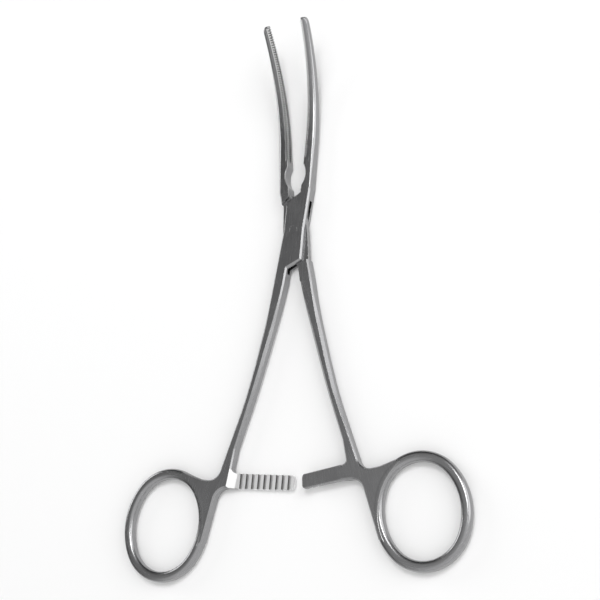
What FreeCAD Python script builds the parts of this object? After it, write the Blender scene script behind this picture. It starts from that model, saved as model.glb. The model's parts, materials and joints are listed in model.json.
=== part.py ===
import FreeCAD, Part
import math
import os
import Sketcher

# Atraumatic vascular clamp, about 17 cm long: two forged halves on a box lock and a flush rivet.
# Axes: +Y runs from the pivot to the jaw tips, +Z is up, and the clamp lies on its side on z = 0.
# The origin is on the pivot axis, on the underside of the box. The halves stand open as in use.
# Each half is drawn in a frame of its own: the pivot at 0,0, its mid plane at z = 0 and the flat face
# of its jaw parallel to Y. "out" is measured from the pivot line towards the side that the piece is on.

DOC = FreeCAD.newDocument("vascular_clamp")

SIZES = {
    # box lock
    "box_thickness": 3.75,
    "edge_bevel": 0.45,
    "plate_half_width": 3.45,
    "plate_upper_reach": 11.4,
    "plate_upper_angle": 35.0,
    "plate_lower_reach": 11.4,
    "plate_lower_angle": 27.0,
    "slot_thickness": 1.5,
    "slot_end_out": 4.1,
    "slot_end_reach": 9.2,
    "slot_end_angle": 57.0,
    "tongue_side_clearance": 0.05,
    "tongue_half_width": 4.1,
    "tongue_root_width": 3.9,
    "tongue_corner_out": 3.6,
    "tongue_corner_reach": 7.8,
    "tongue_end_reach": 11.0,
    "root_inset": 0.5,
    "upper_shoulder_gap": 0.35,
    "lower_shoulder_gap": 1.1,
    "pin_radius": 1.25,
    "pin_running_clearance": 0.05,
    # jaws
    "half_opening": 4.0,
    "face_out": 1.2,
    "root_reach": 13.0,
    "root_width": 3.2,
    "bend_start": 28.4,
    "bend_radius": 68.6,
    "bend_angle": 31.9,
    "jaw_width_base": 3.25,
    "jaw_width_tip": 2.1,
    "jaw_height_base": 3.4,
    "jaw_height_tip": 2.2,
    "back_round_base": 1.2,
    "back_round_tip": 0.85,
    "nose_length": 1.4,
    "notch_lower": 14.2,
    "notch_upper": 21.2,
    "notch_depth": 1.05,
    # teeth of the jaws
    "tooth_pitch": 0.77,
    "tooth_depth": 0.4,
    "tooth_mouth": 0.56,
    "groove_width": 1.0,
    "groove_depth": 0.6,
    "ridge_width": 0.75,
    "ridge_height": 0.45,
    "ridge_end_gap": 0.4,
    # shanks
    "shank_root_reach": 17.0,
    "shank_root_inner": 1.6,
    "shank_root_width": 3.65,
    "shank_neck_reach": 22.0,
    "shank_neck_out": 4.1,
    "shank_neck_width": 3.4,
    "shank_neck_thickness": 3.62,
    "shank_upper_reach": 30.5,
    "shank_upper_out": 5.6,
    "shank_upper_width": 3.25,
    "shank_lower_reach": 50.8,
    "shank_lower_out": 9.85,
    "shank_lower_width": 2.6,
    "shank_end_reach": 66.0,
    "shank_end_out": 14.0,
    "shank_end_width": 2.5,
    "shank_thickness": 3.3,
    "shank_bevel": 0.75,
    # web, finger rings and ratchet
    "web_thickness": 2.8,
    "web_bevel": 0.4,
    "ring_out": 34.5,
    "ring_reach": 88.2,
    "box_ring_half_width": 13.0,
    "box_ring_half_length": 15.0,
    "box_ring_tilt": 1.2,
    "tongue_ring_half_width": 12.5,
    "tongue_ring_half_length": 14.6,
    "tongue_ring_tilt": 8.4,
    "ring_wire_radius": 1.5,
    "ring_edge_round": 1.15,
    "bar_reach": 75.1,
    "bar_width": 4.3,
    "bar_root_out": 12.6,
    "box_bar_overrun": 6.9,
    "tongue_bar_overrun": 0.3,
    "box_bar_drop": 0.4,
    "tongue_bar_drop": 1.0,
    "bar_gap": 0.12,
    "ratchet_pitch": 1.98,
    "ratchet_depth": 0.55,
    "ratchet_first_out": 10.9,
}

COUNTS = {"box_bar_teeth": 9, "tongue_bar_teeth": 3}


def make_sheet():
    sheet = DOC.addObject("Spreadsheet::Sheet", "sizes")
    for row, (name, value) in enumerate({**SIZES, **COUNTS}.items(), start=1):
        sheet.set(f"A{row}", name)
        sheet.set(f"B{row}", str(value))
        sheet.setAlias(f"B{row}", name)
    DOC.recompute()
    return sheet


SHEET = make_sheet()


class Length:
    """A size known as a number and as the expression on the sheet that gives it."""

    def __init__(self, text, value):
        self.text = text
        self.value = float(value)

    def joined(self, sign, other, value):
        other = as_length(other)
        return Length(f"({self.text} {sign} {other.text})", value)

    def __add__(self, other):
        return self.joined("+", other, self.value + as_length(other).value)

    def __radd__(self, other):
        return as_length(other) + self

    def __sub__(self, other):
        return self.joined("-", other, self.value - as_length(other).value)

    def __rsub__(self, other):
        return as_length(other) - self

    def __mul__(self, other):
        return self.joined("*", other, self.value * as_length(other).value)

    def __rmul__(self, other):
        return as_length(other) * self

    def __truediv__(self, other):
        return self.joined("/", other, self.value / as_length(other).value)

    def __neg__(self):
        return as_length(-1) * self


def as_length(item):
    return item if isinstance(item, Length) else Length(repr(item), item)


def size(name):
    return Length(f"sizes.{name}", getattr(SHEET, name))


def sine(angle):
    angle = as_length(angle)
    return Length(f"sin({angle.text})", math.sin(math.radians(angle.value)))


def cosine(angle):
    angle = as_length(angle)
    return Length(f"cos({angle.text})", math.cos(math.radians(angle.value)))


def slope(angle):
    return sine(angle) / cosine(angle)


def bind(item, prop, length):
    """Give a property its value and tie it to the sheet."""
    item.setExpression(prop, length.text)


def origin_plane(body, role):
    return next(plane for plane in body.Origin.OriginFeatures if plane.Role == role)


def new_sketch(body, name, role, base=(0, 0, 0), axis=(1, 0, 0), angle=0):
    """A sketch on one of the body's own planes, shifted and turned in that plane's own axes."""
    sketch = body.newObject("Sketcher::SketchObject", name)
    sketch.AttachmentSupport = [(origin_plane(body, role), "")]
    sketch.MapMode = "FlatFace"
    base = [as_length(part) for part in base]
    angle = as_length(angle)
    sketch.AttachmentOffset = FreeCAD.Placement(
        FreeCAD.Vector(*[part.value for part in base]),
        FreeCAD.Rotation(FreeCAD.Vector(*axis), angle.value))
    for letter, part in zip("xyz", base):
        bind(sketch, f"AttachmentOffset.Base.{letter}", part)
    if angle.value:
        bind(sketch, "AttachmentOffset.Rotation.Angle", angle)
    return sketch


def pin_point(sketch, geometry, end, point):
    """Tie one end of a sketch line or arc to its two coordinates."""
    for kind, length in zip(("DistanceX", "DistanceY"), point):
        length = as_length(length)
        index = sketch.addConstraint(Sketcher.Constraint(kind, -1, 1, geometry, end, length.value))
        bind(sketch, f"Constraints[{index}]", length)


def vector(point):
    return FreeCAD.Vector(as_length(point[0]).value, as_length(point[1]).value, 0)


def draw_outline(sketch, points, arcs=None):
    """A closed outline through the points. arcs gives, for a side's number, a point that its arc passes."""
    arcs = arcs or {}
    ends = []
    for number, point in enumerate(points):
        start = vector(point)
        stop = vector(points[(number + 1) % len(points)])
        if number in arcs:
            curve = Part.Arc(start, vector(arcs[number]), stop)
        else:
            curve = Part.LineSegment(start, stop)
        side = sketch.addGeometry(curve, False)
        forward = sketch.getPoint(side, 1).distanceToPoint(start) < sketch.getPoint(side, 2).distanceToPoint(start)
        ends.append((side, 1, 2) if forward else (side, 2, 1))
    for number, (side, first, last) in enumerate(ends):
        following = ends[(number + 1) % len(ends)]
        sketch.addConstraint(Sketcher.Constraint("Coincident", side, last, following[0], following[1]))
        pin_point(sketch, side, first, points[number])
    for number, middle in arcs.items():
        mark = sketch.addGeometry(Part.Point(vector(middle)), True)
        sketch.addConstraint(Sketcher.Constraint("PointOnObject", mark, 1, ends[number][0]))
        pin_point(sketch, mark, 1, middle)
    return sketch


def draw_circle(sketch, centre, radius):
    round_edge = sketch.addGeometry(Part.Circle(vector(centre), FreeCAD.Vector(0, 0, 1), radius.value), False)
    pin_point(sketch, round_edge, 3, centre)
    index = sketch.addConstraint(Sketcher.Constraint("Radius", round_edge, radius.value))
    bind(sketch, f"Constraints[{index}]", radius)
    return sketch


def prism(body, name, sketch, length, kind="PartDesign::Pad", both_ways=True, reverse=False):
    feature = body.newObject(kind, name)
    feature.Profile = sketch
    feature.SideType = "Symmetric" if both_ways else "One side"
    feature.Reversed = reverse
    feature.Length = length.value
    bind(feature, "Length", length)
    sketch.Visibility = False
    DOC.recompute()
    return feature


def cut_prism(body, name, sketch, length, both_ways=True, reverse=False):
    """A pocket, checked to have cut something."""
    before = body.Shape.Volume
    feature = prism(body, name, sketch, length, "PartDesign::Pocket", both_ways, reverse)
    if not body.Shape.Volume < before:
        raise RuntimeError(f"{name} cuts nothing")
    return feature


def loft(body, name, sections, straight=False):
    feature = body.newObject("PartDesign::AdditiveLoft", name)
    feature.Profile = sections[0]
    feature.Sections = sections[1:]
    feature.Ruled = straight
    DOC.recompute()
    return feature


def bevel(body, name, wanted, width):
    """Bevel the edges of the newest feature for which wanted(middle of the edge) holds."""
    base = body.Tip
    names = []
    for number, edge in enumerate(base.Shape.Edges, start=1):
        middle = edge.valueAt((edge.FirstParameter + edge.LastParameter) / 2)
        if wanted(edge, middle):
            names.append(f"Edge{number}")
    feature = body.newObject("PartDesign::Chamfer", name)
    feature.Base = (base, names)
    feature.Size = width.value
    bind(feature, "Size", width)
    DOC.recompute()
    return feature


def level_edge(edge, height):
    """Whether an edge lies flat at a height above or below the mid plane."""
    box = edge.BoundBox
    return box.ZLength < 1e-6 and abs(abs(box.ZMin) - height) < 1e-6


class Half:
    """One forged half. side is 1 with the jaw on +X and the shank on -X, and -1 mirrored."""

    def __init__(self, kind, side):
        self.side = side
        self.kind = kind
        self.label = f"{kind}_half"
        self.body = DOC.addObject("PartDesign::Body", f"{self.label}_body")

    def size(self, name):
        """A size that this half has for itself."""
        return size(f"{self.kind}_{name}")

    def jaw(self, out, reach):
        """A point on the jaw's side of the pivot line, reach above the pivot."""
        return self.side * as_length(out), as_length(reach)

    def shank(self, out, reach):
        """A point on the shank's side of the pivot line, reach below the pivot."""
        return -self.side * as_length(out), -as_length(reach)

    def plan(self, name, points, arcs=None, height=0):
        return draw_outline(new_sketch(self.body, name, "XY_Plane", (0, 0, height)), points, arcs)

    def join(self, ring):
        """One forging of the half's body and its ring, turned open about the pivot and lifted."""
        whole = DOC.addObject("Part::MultiFuse", self.label)
        whole.Label = self.label
        whole.Shapes = [self.body, ring]
        opening = size("half_opening")
        height = size("box_thickness") / 2
        whole.Placement = FreeCAD.Placement(
            FreeCAD.Vector(0, 0, height.value),
            FreeCAD.Rotation(FreeCAD.Vector(0, 0, -self.side), opening.value))
        bind(whole, "Placement.Base.z", height)
        bind(whole, "Placement.Rotation.Angle", opening)
        DOC.recompute()
        return whole


def upper_plate_edge(out):
    """Reach of the box plate's upper edge, at a distance out on the side away from the box half's jaw."""
    return size("plate_upper_reach") - slope(size("plate_upper_angle")) * out


def lower_plate_edge(out):
    """Reach of the plate's lower edge, at a distance out on the side away from the box half's shank."""
    return size("plate_lower_reach") - slope(size("plate_lower_angle")) * out


ROOT_OUTER = size("face_out") + size("root_width")
SHANK_ROOT_OUTER = size("shank_root_inner") + size("shank_root_width")


def box_block(half):
    """The solid box with the roots of the jaw and of the shank, all one outline."""
    width = size("plate_half_width")
    face = size("face_out")
    shank_inner_corner = size("shank_root_inner") - size("root_inset")
    points = [
        half.jaw(face, size("root_reach")),
        half.jaw(ROOT_OUTER, size("root_reach")),
        half.jaw(width, 0),
        half.shank(-width, lower_plate_edge(width)),
        half.shank(shank_inner_corner, lower_plate_edge(-shank_inner_corner)),
        half.shank(size("shank_root_inner"), size("shank_root_reach")),
        half.shank(SHANK_ROOT_OUTER, size("shank_root_reach")),
        half.jaw(-width, 0),
        half.jaw(-width, upper_plate_edge(width)),
        half.jaw(face, upper_plate_edge(-face)),
    ]
    prism(half.body, "box_block", half.plan("box_plan", points), size("box_thickness"))
    bevel_root(half)


def bevel_root(half):
    """Bevel the long edges of the roots, but not their two ends or the wall under the jaw's face."""
    face = size("face_out").value
    top = size("box_thickness").value / 2
    upper_end = size("root_reach").value
    lower_end = -size("shank_root_reach").value

    def wanted(edge, middle):
        at_end = abs(middle.y - upper_end) < 1e-6 or abs(middle.y - lower_end) < 1e-6
        under_face = abs(middle.x - half.side * face) < 1e-6 and middle.y > 0
        return level_edge(edge, top) and not at_end and not under_face

    bevel(half.body, "root_bevel", wanted, size("edge_bevel"))


def box_slot(half):
    """The slot through the box in which the tongue turns, between two slanting ends."""
    far = size("tongue_half_width") * 3
    run = slope(size("slot_end_angle"))

    def upper_end(out):
        return half.jaw(out, size("slot_end_reach") + run * (size("slot_end_out") - out))

    def lower_end(out):
        return half.shank(out, size("slot_end_reach") + run * (size("slot_end_out") - out))

    points = [upper_end(far), upper_end(-far), lower_end(far), lower_end(-far)]
    cut_prism(half.body, "slot", half.plan("slot_plan", points), size("slot_thickness"))


def jaw_root(half):
    """Full thickness root of the tongue half's jaw, with the shoulder that faces the box plate."""
    gap = size("upper_shoulder_gap")

    def shoulder(out):
        return half.jaw(out, upper_plate_edge(out) + gap)

    face = size("face_out")
    outer = size("tongue_root_width")
    points = [
        half.jaw(face, size("root_reach")),
        half.jaw(ROOT_OUTER, size("root_reach")),
        shoulder(outer),
        shoulder(face),
    ]
    prism(half.body, "jaw_root", half.plan("jaw_root_plan", points), size("box_thickness"))


def shank_root(half):
    """Full thickness root of the tongue half's shank, with its own shoulder."""
    gap = size("lower_shoulder_gap")
    inner = size("shank_root_inner") - size("root_inset")

    def shoulder(out):
        return half.shank(out, lower_plate_edge(out) + gap)

    points = [
        shoulder(inner),
        shoulder(SHANK_ROOT_OUTER - size("root_inset") * 1.8),
        half.shank(SHANK_ROOT_OUTER, size("shank_root_reach")),
        half.shank(size("shank_root_inner"), size("shank_root_reach")),
    ]
    prism(half.body, "shank_root", half.plan("shank_root_plan", points), size("box_thickness"))


def tongue(half):
    """The thin tongue that crosses the box and joins the two roots of this half."""
    width = size("tongue_half_width")
    corner = size("tongue_corner_out")
    reach = size("tongue_corner_reach")
    end = size("tongue_end_reach")
    inside = size("root_reach") - 0.6
    points = [
        half.jaw(size("face_out") + 0.6, inside),
        half.jaw(width, inside - 1),
        half.jaw(width, 0),
        half.jaw(corner, -reach),
        half.jaw(0, -end),
        half.shank(size("shank_root_inner") + 0.4, inside + 1),
        half.shank(width + 0.4, inside),
        half.shank(width, 0),
        half.shank(corner, -reach),
        half.shank(0, -end),
    ]
    thickness = size("slot_thickness") - size("tongue_side_clearance") * 2
    prism(half.body, "tongue", half.plan("tongue_plan", points), thickness)


def jaw_section(half, name, base, angle, width, height, corner):
    """Section of a jaw: flat face, two flat sides and a back with two corners of three flats each."""
    sketch = new_sketch(half.body, name, "XZ_Plane", base, (1, 0, 0), angle)
    face = size("face_out")
    outer = face + width
    top = height / 2
    low = corner * (1 - cosine(30))
    high = corner * (1 - cosine(60))

    def at(out, up):
        return half.side * out, up

    return draw_outline(sketch, [
        at(face, -top), at(face, top),
        at(outer - corner, top), at(outer - high, top - low),
        at(outer - low, top - high), at(outer, top - corner),
        at(outer, corner - top), at(outer - low, high - top),
        at(outer - high, low - top), at(outer - corner, -top),
    ])


def on_bend(angle):
    """Where the jaw's middle line is after bending through an angle, in the XZ plane's own axes."""
    radius = size("bend_radius")
    return 0, radius * (1 - cosine(angle)), -(size("bend_start") + radius * sine(angle))


def turn_for(arc_length):
    """The angle of the bend that an arc of this length takes."""
    return arc_length / size("bend_radius") * (180 / math.pi)


def jaw_blank(half):
    """The jaw: straight root, then an even bend upwards to the tip, tapering both ways, and a round nose."""
    bend = size("bend_angle")

    def between(base, tip, share):
        return size(base) + (size(tip) - size(base)) * share

    def station(name, share, width_share=1.0, height_share=1.0, extra=0):
        angle = bend * share + extra
        return jaw_section(
            half, name, on_bend(angle), angle,
            between("jaw_width_base", "jaw_width_tip", share) * width_share,
            between("jaw_height_base", "jaw_height_tip", share) * height_share,
            between("back_round_base", "back_round_tip", share) * height_share)

    root = jaw_section(half, "root_section", (0, 0, -size("root_reach")), 0, size("root_width"),
                       size("box_thickness"), size("edge_bevel"))
    base = station("bend_section_0", 0.0)
    loft(half.body, "straight_jaw", [root, base], straight=True)
    stations = [station(f"bend_section_{number}", number / 5) for number in range(1, 6)]
    loft(half.body, "bent_jaw", [base] + stations)
    step = turn_for(size("nose_length"))
    nose = [station("nose_section_1", 1.0, 0.9, 0.93, step * 0.6), station("nose_section_2", 1.0, 0.55, 0.65, step)]
    loft(half.body, "nose", [stations[-1]] + nose)


def jaw_notch(half):
    """The shallow hollow at the heel of the jaw, between the teeth and the box."""
    face = size("face_out")
    lower = size("notch_lower")
    upper = size("notch_upper")
    points = [half.jaw(face - 1, lower), half.jaw(face, lower), half.jaw(face, upper), half.jaw(face - 1, upper)]
    arcs = {1: half.jaw(face + size("notch_depth"), (lower + upper) / 2)}
    cut_prism(half.body, "notch", half.plan("notch_plan", points, arcs), size("box_thickness") * 2)


def bend_axis(half):
    """The line about which the jaw bends, parallel to X and above the start of the bend."""
    axis = half.body.newObject("PartDesign::Line", "bend_axis")
    start = size("bend_start")
    radius = size("bend_radius")
    axis.Placement = FreeCAD.Placement(
        FreeCAD.Vector(0, start.value, radius.value), FreeCAD.Rotation(FreeCAD.Vector(0, 1, 0), 90))
    bind(axis, "Placement.Base.y", start)
    bind(axis, "Placement.Base.z", radius)
    return axis


def turned_strip(half, kind, name, axis, near, far, width, end_gap=0):
    """A strip along the middle of the jaw's face, turned about the bend axis, end_gap short at both ends."""
    inset = turn_for(as_length(end_gap))
    turn = size("bend_angle") - inset * 2
    sketch = new_sketch(half.body, f"{name}_section", "XZ_Plane", on_bend(inset), (1, 0, 0), inset)
    top = width / 2
    draw_outline(sketch, [(half.side * near, -top), (half.side * near, top),
                          (half.side * far, top), (half.side * far, -top)])
    before = half.body.Shape.Volume
    feature = half.body.newObject(kind, name)
    feature.Profile = sketch
    feature.ReferenceAxis = (axis, [""])
    feature.Angle = turn.value
    bind(feature, "Angle", turn)
    DOC.recompute()
    if reaches_up(half, name, before, kind):
        return feature
    feature.Reversed = True
    DOC.recompute()
    return feature


def reaches_up(half, name, before, kind):
    """Whether a turned strip follows the bend of the jaw rather than leaving it."""
    box = half.body.Shape.BoundBox
    change = half.body.Shape.Volume - before
    if kind == "PartDesign::Groove":
        return change < -1.0
    return change > 0 and box.ZMin > -size("box_thickness").value


def jaw_teeth(half, axis, crest, depth_from):
    """Fine notches across the toothed rows, one pitch apart along the bend."""
    mouth = size("tooth_mouth")
    pitch = size("tooth_pitch")
    start = size("bend_start") + pitch / 2
    back = crest - 0.2
    spread = mouth / size("tooth_depth") * (size("tooth_depth") + 0.2) / 2
    points = [
        half.jaw(back, start - spread),
        half.jaw(back, start + spread),
        half.jaw(crest + size("tooth_depth"), start),
    ]
    notch = cut_prism(half.body, "tooth_notch", half.plan("tooth_plan", points), depth_from)
    teeth = half.body.newObject("PartDesign::PolarPattern", "teeth")
    teeth.Originals = [notch]
    teeth.Axis = (axis, [""])
    teeth.Mode = "Spacing"
    step = turn_for(pitch)
    teeth.Offset = step.value
    bind(teeth, "Offset", step)
    teeth.setExpression("Occurrences", f"floor(sizes.bend_angle / {step.text})")
    half.body.Tip = teeth
    DOC.recompute()
    return teeth


def shank_section(half, name, reach, out, width, thickness, corner):
    """Eight-sided section of a shank."""
    sketch = new_sketch(half.body, name, "XZ_Plane", (0, 0, reach))
    side = width / 2
    top = thickness / 2

    def at(across, up):
        return -half.side * (out + across), up

    return draw_outline(sketch, [
        at(-side, corner - top), at(-side, top - corner), at(corner - side, top), at(side - corner, top),
        at(side, top - corner), at(side, corner - top), at(side - corner, -top), at(corner - side, -top),
    ])


def shank_bar(half):
    """The shank, a long slender lever that bows outwards and thins towards the ring."""
    root_middle = size("shank_root_inner") + size("shank_root_width") / 2
    sections = [
        shank_section(half, "shank_section_0", size("shank_root_reach"), root_middle,
                      size("shank_root_width"), size("box_thickness"), size("edge_bevel")),
        shank_section(half, "shank_section_1", size("shank_neck_reach"), size("shank_neck_out"),
                      size("shank_neck_width"), size("shank_neck_thickness"), size("edge_bevel")),
        shank_section(half, "shank_section_2", size("shank_upper_reach"), size("shank_upper_out"),
                      size("shank_upper_width"), size("shank_thickness"), size("shank_bevel")),
        shank_section(half, "shank_section_3", size("shank_lower_reach"), size("shank_lower_out"),
                      size("shank_lower_width"), size("shank_thickness"), size("shank_bevel")),
        shank_section(half, "shank_section_4", size("shank_end_reach"), size("shank_end_out"),
                      size("shank_end_width"), size("web_thickness"), size("web_bevel")),
    ]
    loft(half.body, "shank", sections)


def ring_point(half, turn, growth=0.0):
    """A point on the ring's middle line, turn degrees from its short axis, moved out by growth."""
    wide = half.size("ring_half_width") + growth
    long = half.size("ring_half_length") + growth
    tilt = half.size("ring_tilt")
    out = size("ring_out") + wide * cosine(turn) * cosine(tilt) - long * sine(turn) * sine(tilt)
    reach = size("ring_reach") - wide * cosine(turn) * sine(tilt) - long * sine(turn) * cosine(tilt)
    return half.shank(out, reach)


def web(half):
    """The flat web in which shank, ratchet bar and ring run together."""
    end = size("shank_end_reach")
    outer = size("shank_end_out") + size("shank_end_width") / 2
    inner = size("shank_end_out") - size("shank_end_width") / 2
    bar_top = size("bar_reach") - size("bar_width") / 2
    bar_bottom = size("bar_reach") + size("bar_width") / 2
    root = size("bar_root_out")
    points = [
        half.shank(outer, end),
        half.shank(outer + 1.7, end + 5.7),
        half.shank(outer + 5.6, end + 9.1),
        half.shank(outer + 8.6, end + 8.9),
        ring_point(half, 112, 1.2),
        ring_point(half, 104),
        ring_point(half, 178),
        ring_point(half, 171, 1.2),
        half.shank(root + 5.7, bar_bottom + 3.0),
        half.shank(root + 2.2, bar_bottom),
        half.shank(root - 0.8, bar_bottom),
        half.shank(root - 0.8, bar_top),
        half.shank(inner + 0.7, bar_top - 1.4),
        half.shank(inner, end),
    ]
    arcs = {
        1: half.shank(outer + 3.1, end + 8.2),
        5: ring_point(half, 140),
        8: half.shank(root + 4.4, bar_bottom + 0.95),
        11: half.shank(inner + 0.3, bar_top - 0.4),
    }
    prism(half.body, "web", half.plan("web_plan", points, arcs), size("web_thickness"))


def ring_outline(half, plan, growth):
    """An oval of four arcs, drawn growth outside the ring's middle line. Its arcs meet smoothly."""
    excess = half.size("ring_half_length") - half.size("ring_half_width")
    end_radius = half.size("ring_half_width") - 0.4 * excess + growth
    joint_across = end_radius * (2.25 / 2.65)
    joint_along = 1.4 * excess + end_radius * (1.4 / 2.65)
    tilt = half.size("ring_tilt")

    def at(across, along):
        out = size("ring_out") + across * cosine(tilt) - along * sine(tilt)
        reach = size("ring_reach") - across * sine(tilt) - along * cosine(tilt)
        return half.shank(out, reach)

    long = half.size("ring_half_length") + growth
    wide = half.size("ring_half_width") + growth
    corners = [at(joint_across, joint_along), at(-joint_across, joint_along),
               at(-joint_across, -joint_along), at(joint_across, -joint_along)]
    middles = {0: at(0, long), 1: at(-wide, 0), 2: at(0, -long), 3: at(wide, 0)}
    draw_outline(plan, corners, middles)


def make_ring(half):
    """The finger ring, an oval band with its four edges rounded until it is nearly a round wire."""
    body = DOC.addObject("PartDesign::Body", f"{half.label}_ring")
    plan = new_sketch(body, "ring_plan", "XY_Plane")
    ring_outline(half, plan, size("ring_wire_radius"))
    ring_outline(half, plan, -size("ring_wire_radius"))
    prism(body, "ring_band", plan, size("ring_wire_radius") * 2)
    rim = size("ring_wire_radius")
    round_off = size("ring_edge_round")
    first = round_off * (2 - 2 ** 0.5)
    bevel_ring(body, "ring_bevel", first, lambda edge: level_edge(edge, rim.value))
    lower_rim = rim.value - first.value
    second = round_off * (slope(22.5) - slope(11.25))
    bevel_ring(body, "ring_rounding", second,
               lambda edge: level_edge(edge, rim.value) or level_edge(edge, lower_rim))
    return body


def bevel_ring(body, name, width, wanted):
    base = body.Tip
    feature = body.newObject("PartDesign::Chamfer", name)
    edges = enumerate(base.Shape.Edges, start=1)
    feature.Base = (base, [f"Edge{number}" for number, edge in edges if wanted(edge)])
    feature.Size = width.value
    bind(feature, "Size", width)
    DOC.recompute()


def ratchet_bar(half, upper):
    """A ratchet bar of half thickness. The two bars pass over each other, teeth to teeth."""
    root = size("bar_root_out")
    top = size("bar_reach") - size("bar_width") / 2
    bottom = size("bar_reach") + size("bar_width") / 2
    corner = 0.9
    end = -half.size("bar_overrun")
    drop = half.size("bar_drop")
    end_top = top + drop
    end_bottom = bottom + drop - 0.2
    points = [
        half.shank(root, top), half.shank(root, bottom),
        half.shank(end + corner, end_bottom), half.shank(end, end_bottom - corner),
        half.shank(end, end_top + corner), half.shank(end + corner, end_top),
    ]
    rise = corner * (1 - 0.5 ** 0.5)
    arcs = {2: half.shank(end + rise, end_bottom - rise), 4: half.shank(end + rise, end_top + rise)}
    crest = size("bar_gap") / 2
    outer = size("web_thickness") / 2
    height = crest if upper else -outer
    prism(half.body, "ratchet_bar", half.plan("bar_plan", points, arcs, height), outer - crest, both_ways=False)
    ratchet_teeth(half, upper, crest)


def ratchet_teeth(half, upper, crest):
    """Saw teeth across the bar: a steep wall and a long ramp, one pitch apart."""
    body = half.body
    pitch = size("ratchet_pitch")
    first = pitch * (half.size("bar_teeth") - 1) + 0.6 if upper else size("ratchet_first_out")
    way = 1 if upper else -1
    sketch = new_sketch(body, "saw_section", "XZ_Plane", (0, 0, size("bar_reach")))
    steep = first
    ramp = first - pitch * 0.8
    level = way * crest
    spare = way * 0.03
    points = [
        (-half.side * steep, level + way * size("ratchet_depth")),
        (-half.side * steep, level - spare),
        (-half.side * ramp, level - spare),
    ]
    draw_outline(sketch, points)
    cut = cut_prism(body, "saw_cut", sketch, size("bar_width") + half.size("bar_drop") * 2 + 0.4)
    row = body.newObject("PartDesign::LinearPattern", "saw_teeth")
    row.Originals = [cut]
    row.Direction = (sketch, ["H_Axis"])
    row.Reversed = half.side < 0
    row.Mode = "Spacing"
    row.Offset = pitch.value
    bind(row, "Offset", pitch)
    row.setExpression("Occurrences", f"sizes.{half.kind}_bar_teeth")
    body.Tip = row
    DOC.recompute()
    return row


def pin_hole(half, radius):
    sketch = draw_circle(new_sketch(half.body, "pin_hole_plan", "XY_Plane"), (0, 0), radius)
    cut_prism(half.body, "pin_hole", sketch, size("box_thickness") * 2)


def make_box_half():
    half = Half("box", 1)
    box_block(half)
    box_slot(half)
    pin_hole(half, size("pin_radius"))
    jaw_blank(half)
    jaw_notch(half)
    axis = bend_axis(half)
    crest = size("face_out") - size("ridge_height")
    turned_strip(half, "PartDesign::Revolution", "ridge", axis, crest, size("face_out") + 0.2,
                 size("ridge_width"), size("ridge_end_gap"))
    jaw_teeth(half, axis, crest, size("ridge_width") + 0.4)
    shank_bar(half)
    web(half)
    ratchet_bar(half, upper=False)
    return half.join(make_ring(half))


def make_tongue_half():
    half = Half("tongue", -1)
    jaw_root(half)
    tongue(half)
    shank_root(half)
    bevel_root(half)
    pin_hole(half, size("pin_radius") + size("pin_running_clearance"))
    jaw_blank(half)
    jaw_notch(half)
    axis = bend_axis(half)
    face = size("face_out")
    turned_strip(half, "PartDesign::Groove", "groove", axis, face - 0.3, face + size("groove_depth"),
                 size("groove_width"))
    jaw_teeth(half, axis, face, size("jaw_height_base") + 0.4)
    shank_bar(half)
    web(half)
    ratchet_bar(half, upper=True)
    return half.join(make_ring(half))


def make_pivot_pin():
    """The rivet through box and tongue, ground flush with both faces of the box."""
    pin = DOC.addObject("Part::Cylinder", "pivot_pin")
    pin.Label = "pivot_pin"
    pin.Placement = FreeCAD.Placement()
    bind(pin, "Radius", size("pin_radius"))
    bind(pin, "Height", size("box_thickness"))
    return pin


def write_parts(parts):
    DOC.recompute()
    failed = [item.Name for item in DOC.Objects if {"Invalid", "Error"} & set(item.State)]
    if failed:
        raise RuntimeError(f"these did not build: {failed}")
    os.makedirs("parts", exist_ok=True)
    for part in parts:
        if part.Shape.isNull() or not part.Shape.isValid():
            raise RuntimeError(f"{part.Label} has no valid shape")
    for part in parts:
        part.Shape.exportStep(f"parts/{part.Label}.step")


write_parts([make_box_half(), make_tongue_half(), make_pivot_pin()])
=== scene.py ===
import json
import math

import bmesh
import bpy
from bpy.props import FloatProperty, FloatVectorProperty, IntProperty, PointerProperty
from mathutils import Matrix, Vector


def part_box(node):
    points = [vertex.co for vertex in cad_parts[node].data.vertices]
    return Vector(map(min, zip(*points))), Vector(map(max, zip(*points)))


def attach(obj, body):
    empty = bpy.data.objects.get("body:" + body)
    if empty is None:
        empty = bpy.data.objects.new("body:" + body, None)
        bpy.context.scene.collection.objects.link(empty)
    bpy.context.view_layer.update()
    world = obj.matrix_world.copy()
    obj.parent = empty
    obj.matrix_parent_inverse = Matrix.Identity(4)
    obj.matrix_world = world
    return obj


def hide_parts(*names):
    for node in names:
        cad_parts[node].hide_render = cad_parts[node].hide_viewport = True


bl_info = {
    "name": "Atraumatic vascular clamp",
    "version": (1, 0, 0),
    "blender": (4, 5, 0),
    "location": "3D View > Sidebar > Clamp",
    "description": "Satin steel vascular clamp with a box lock, a ratchet and finely toothed jaws",
    "category": "Object",
}

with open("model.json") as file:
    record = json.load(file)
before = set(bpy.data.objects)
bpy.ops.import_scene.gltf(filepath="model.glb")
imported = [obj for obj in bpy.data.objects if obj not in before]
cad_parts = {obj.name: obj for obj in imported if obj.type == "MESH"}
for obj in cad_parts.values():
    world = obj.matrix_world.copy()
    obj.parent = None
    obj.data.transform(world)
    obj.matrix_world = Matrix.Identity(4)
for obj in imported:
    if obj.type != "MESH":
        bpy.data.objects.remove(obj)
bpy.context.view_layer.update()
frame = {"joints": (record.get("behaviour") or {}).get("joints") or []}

MM = 0.001
LOCK = frame["joints"][0]
PIVOT = Vector(LOCK["pos_m"])
PIN_LOW, PIN_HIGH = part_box("pivot_pin")

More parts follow.
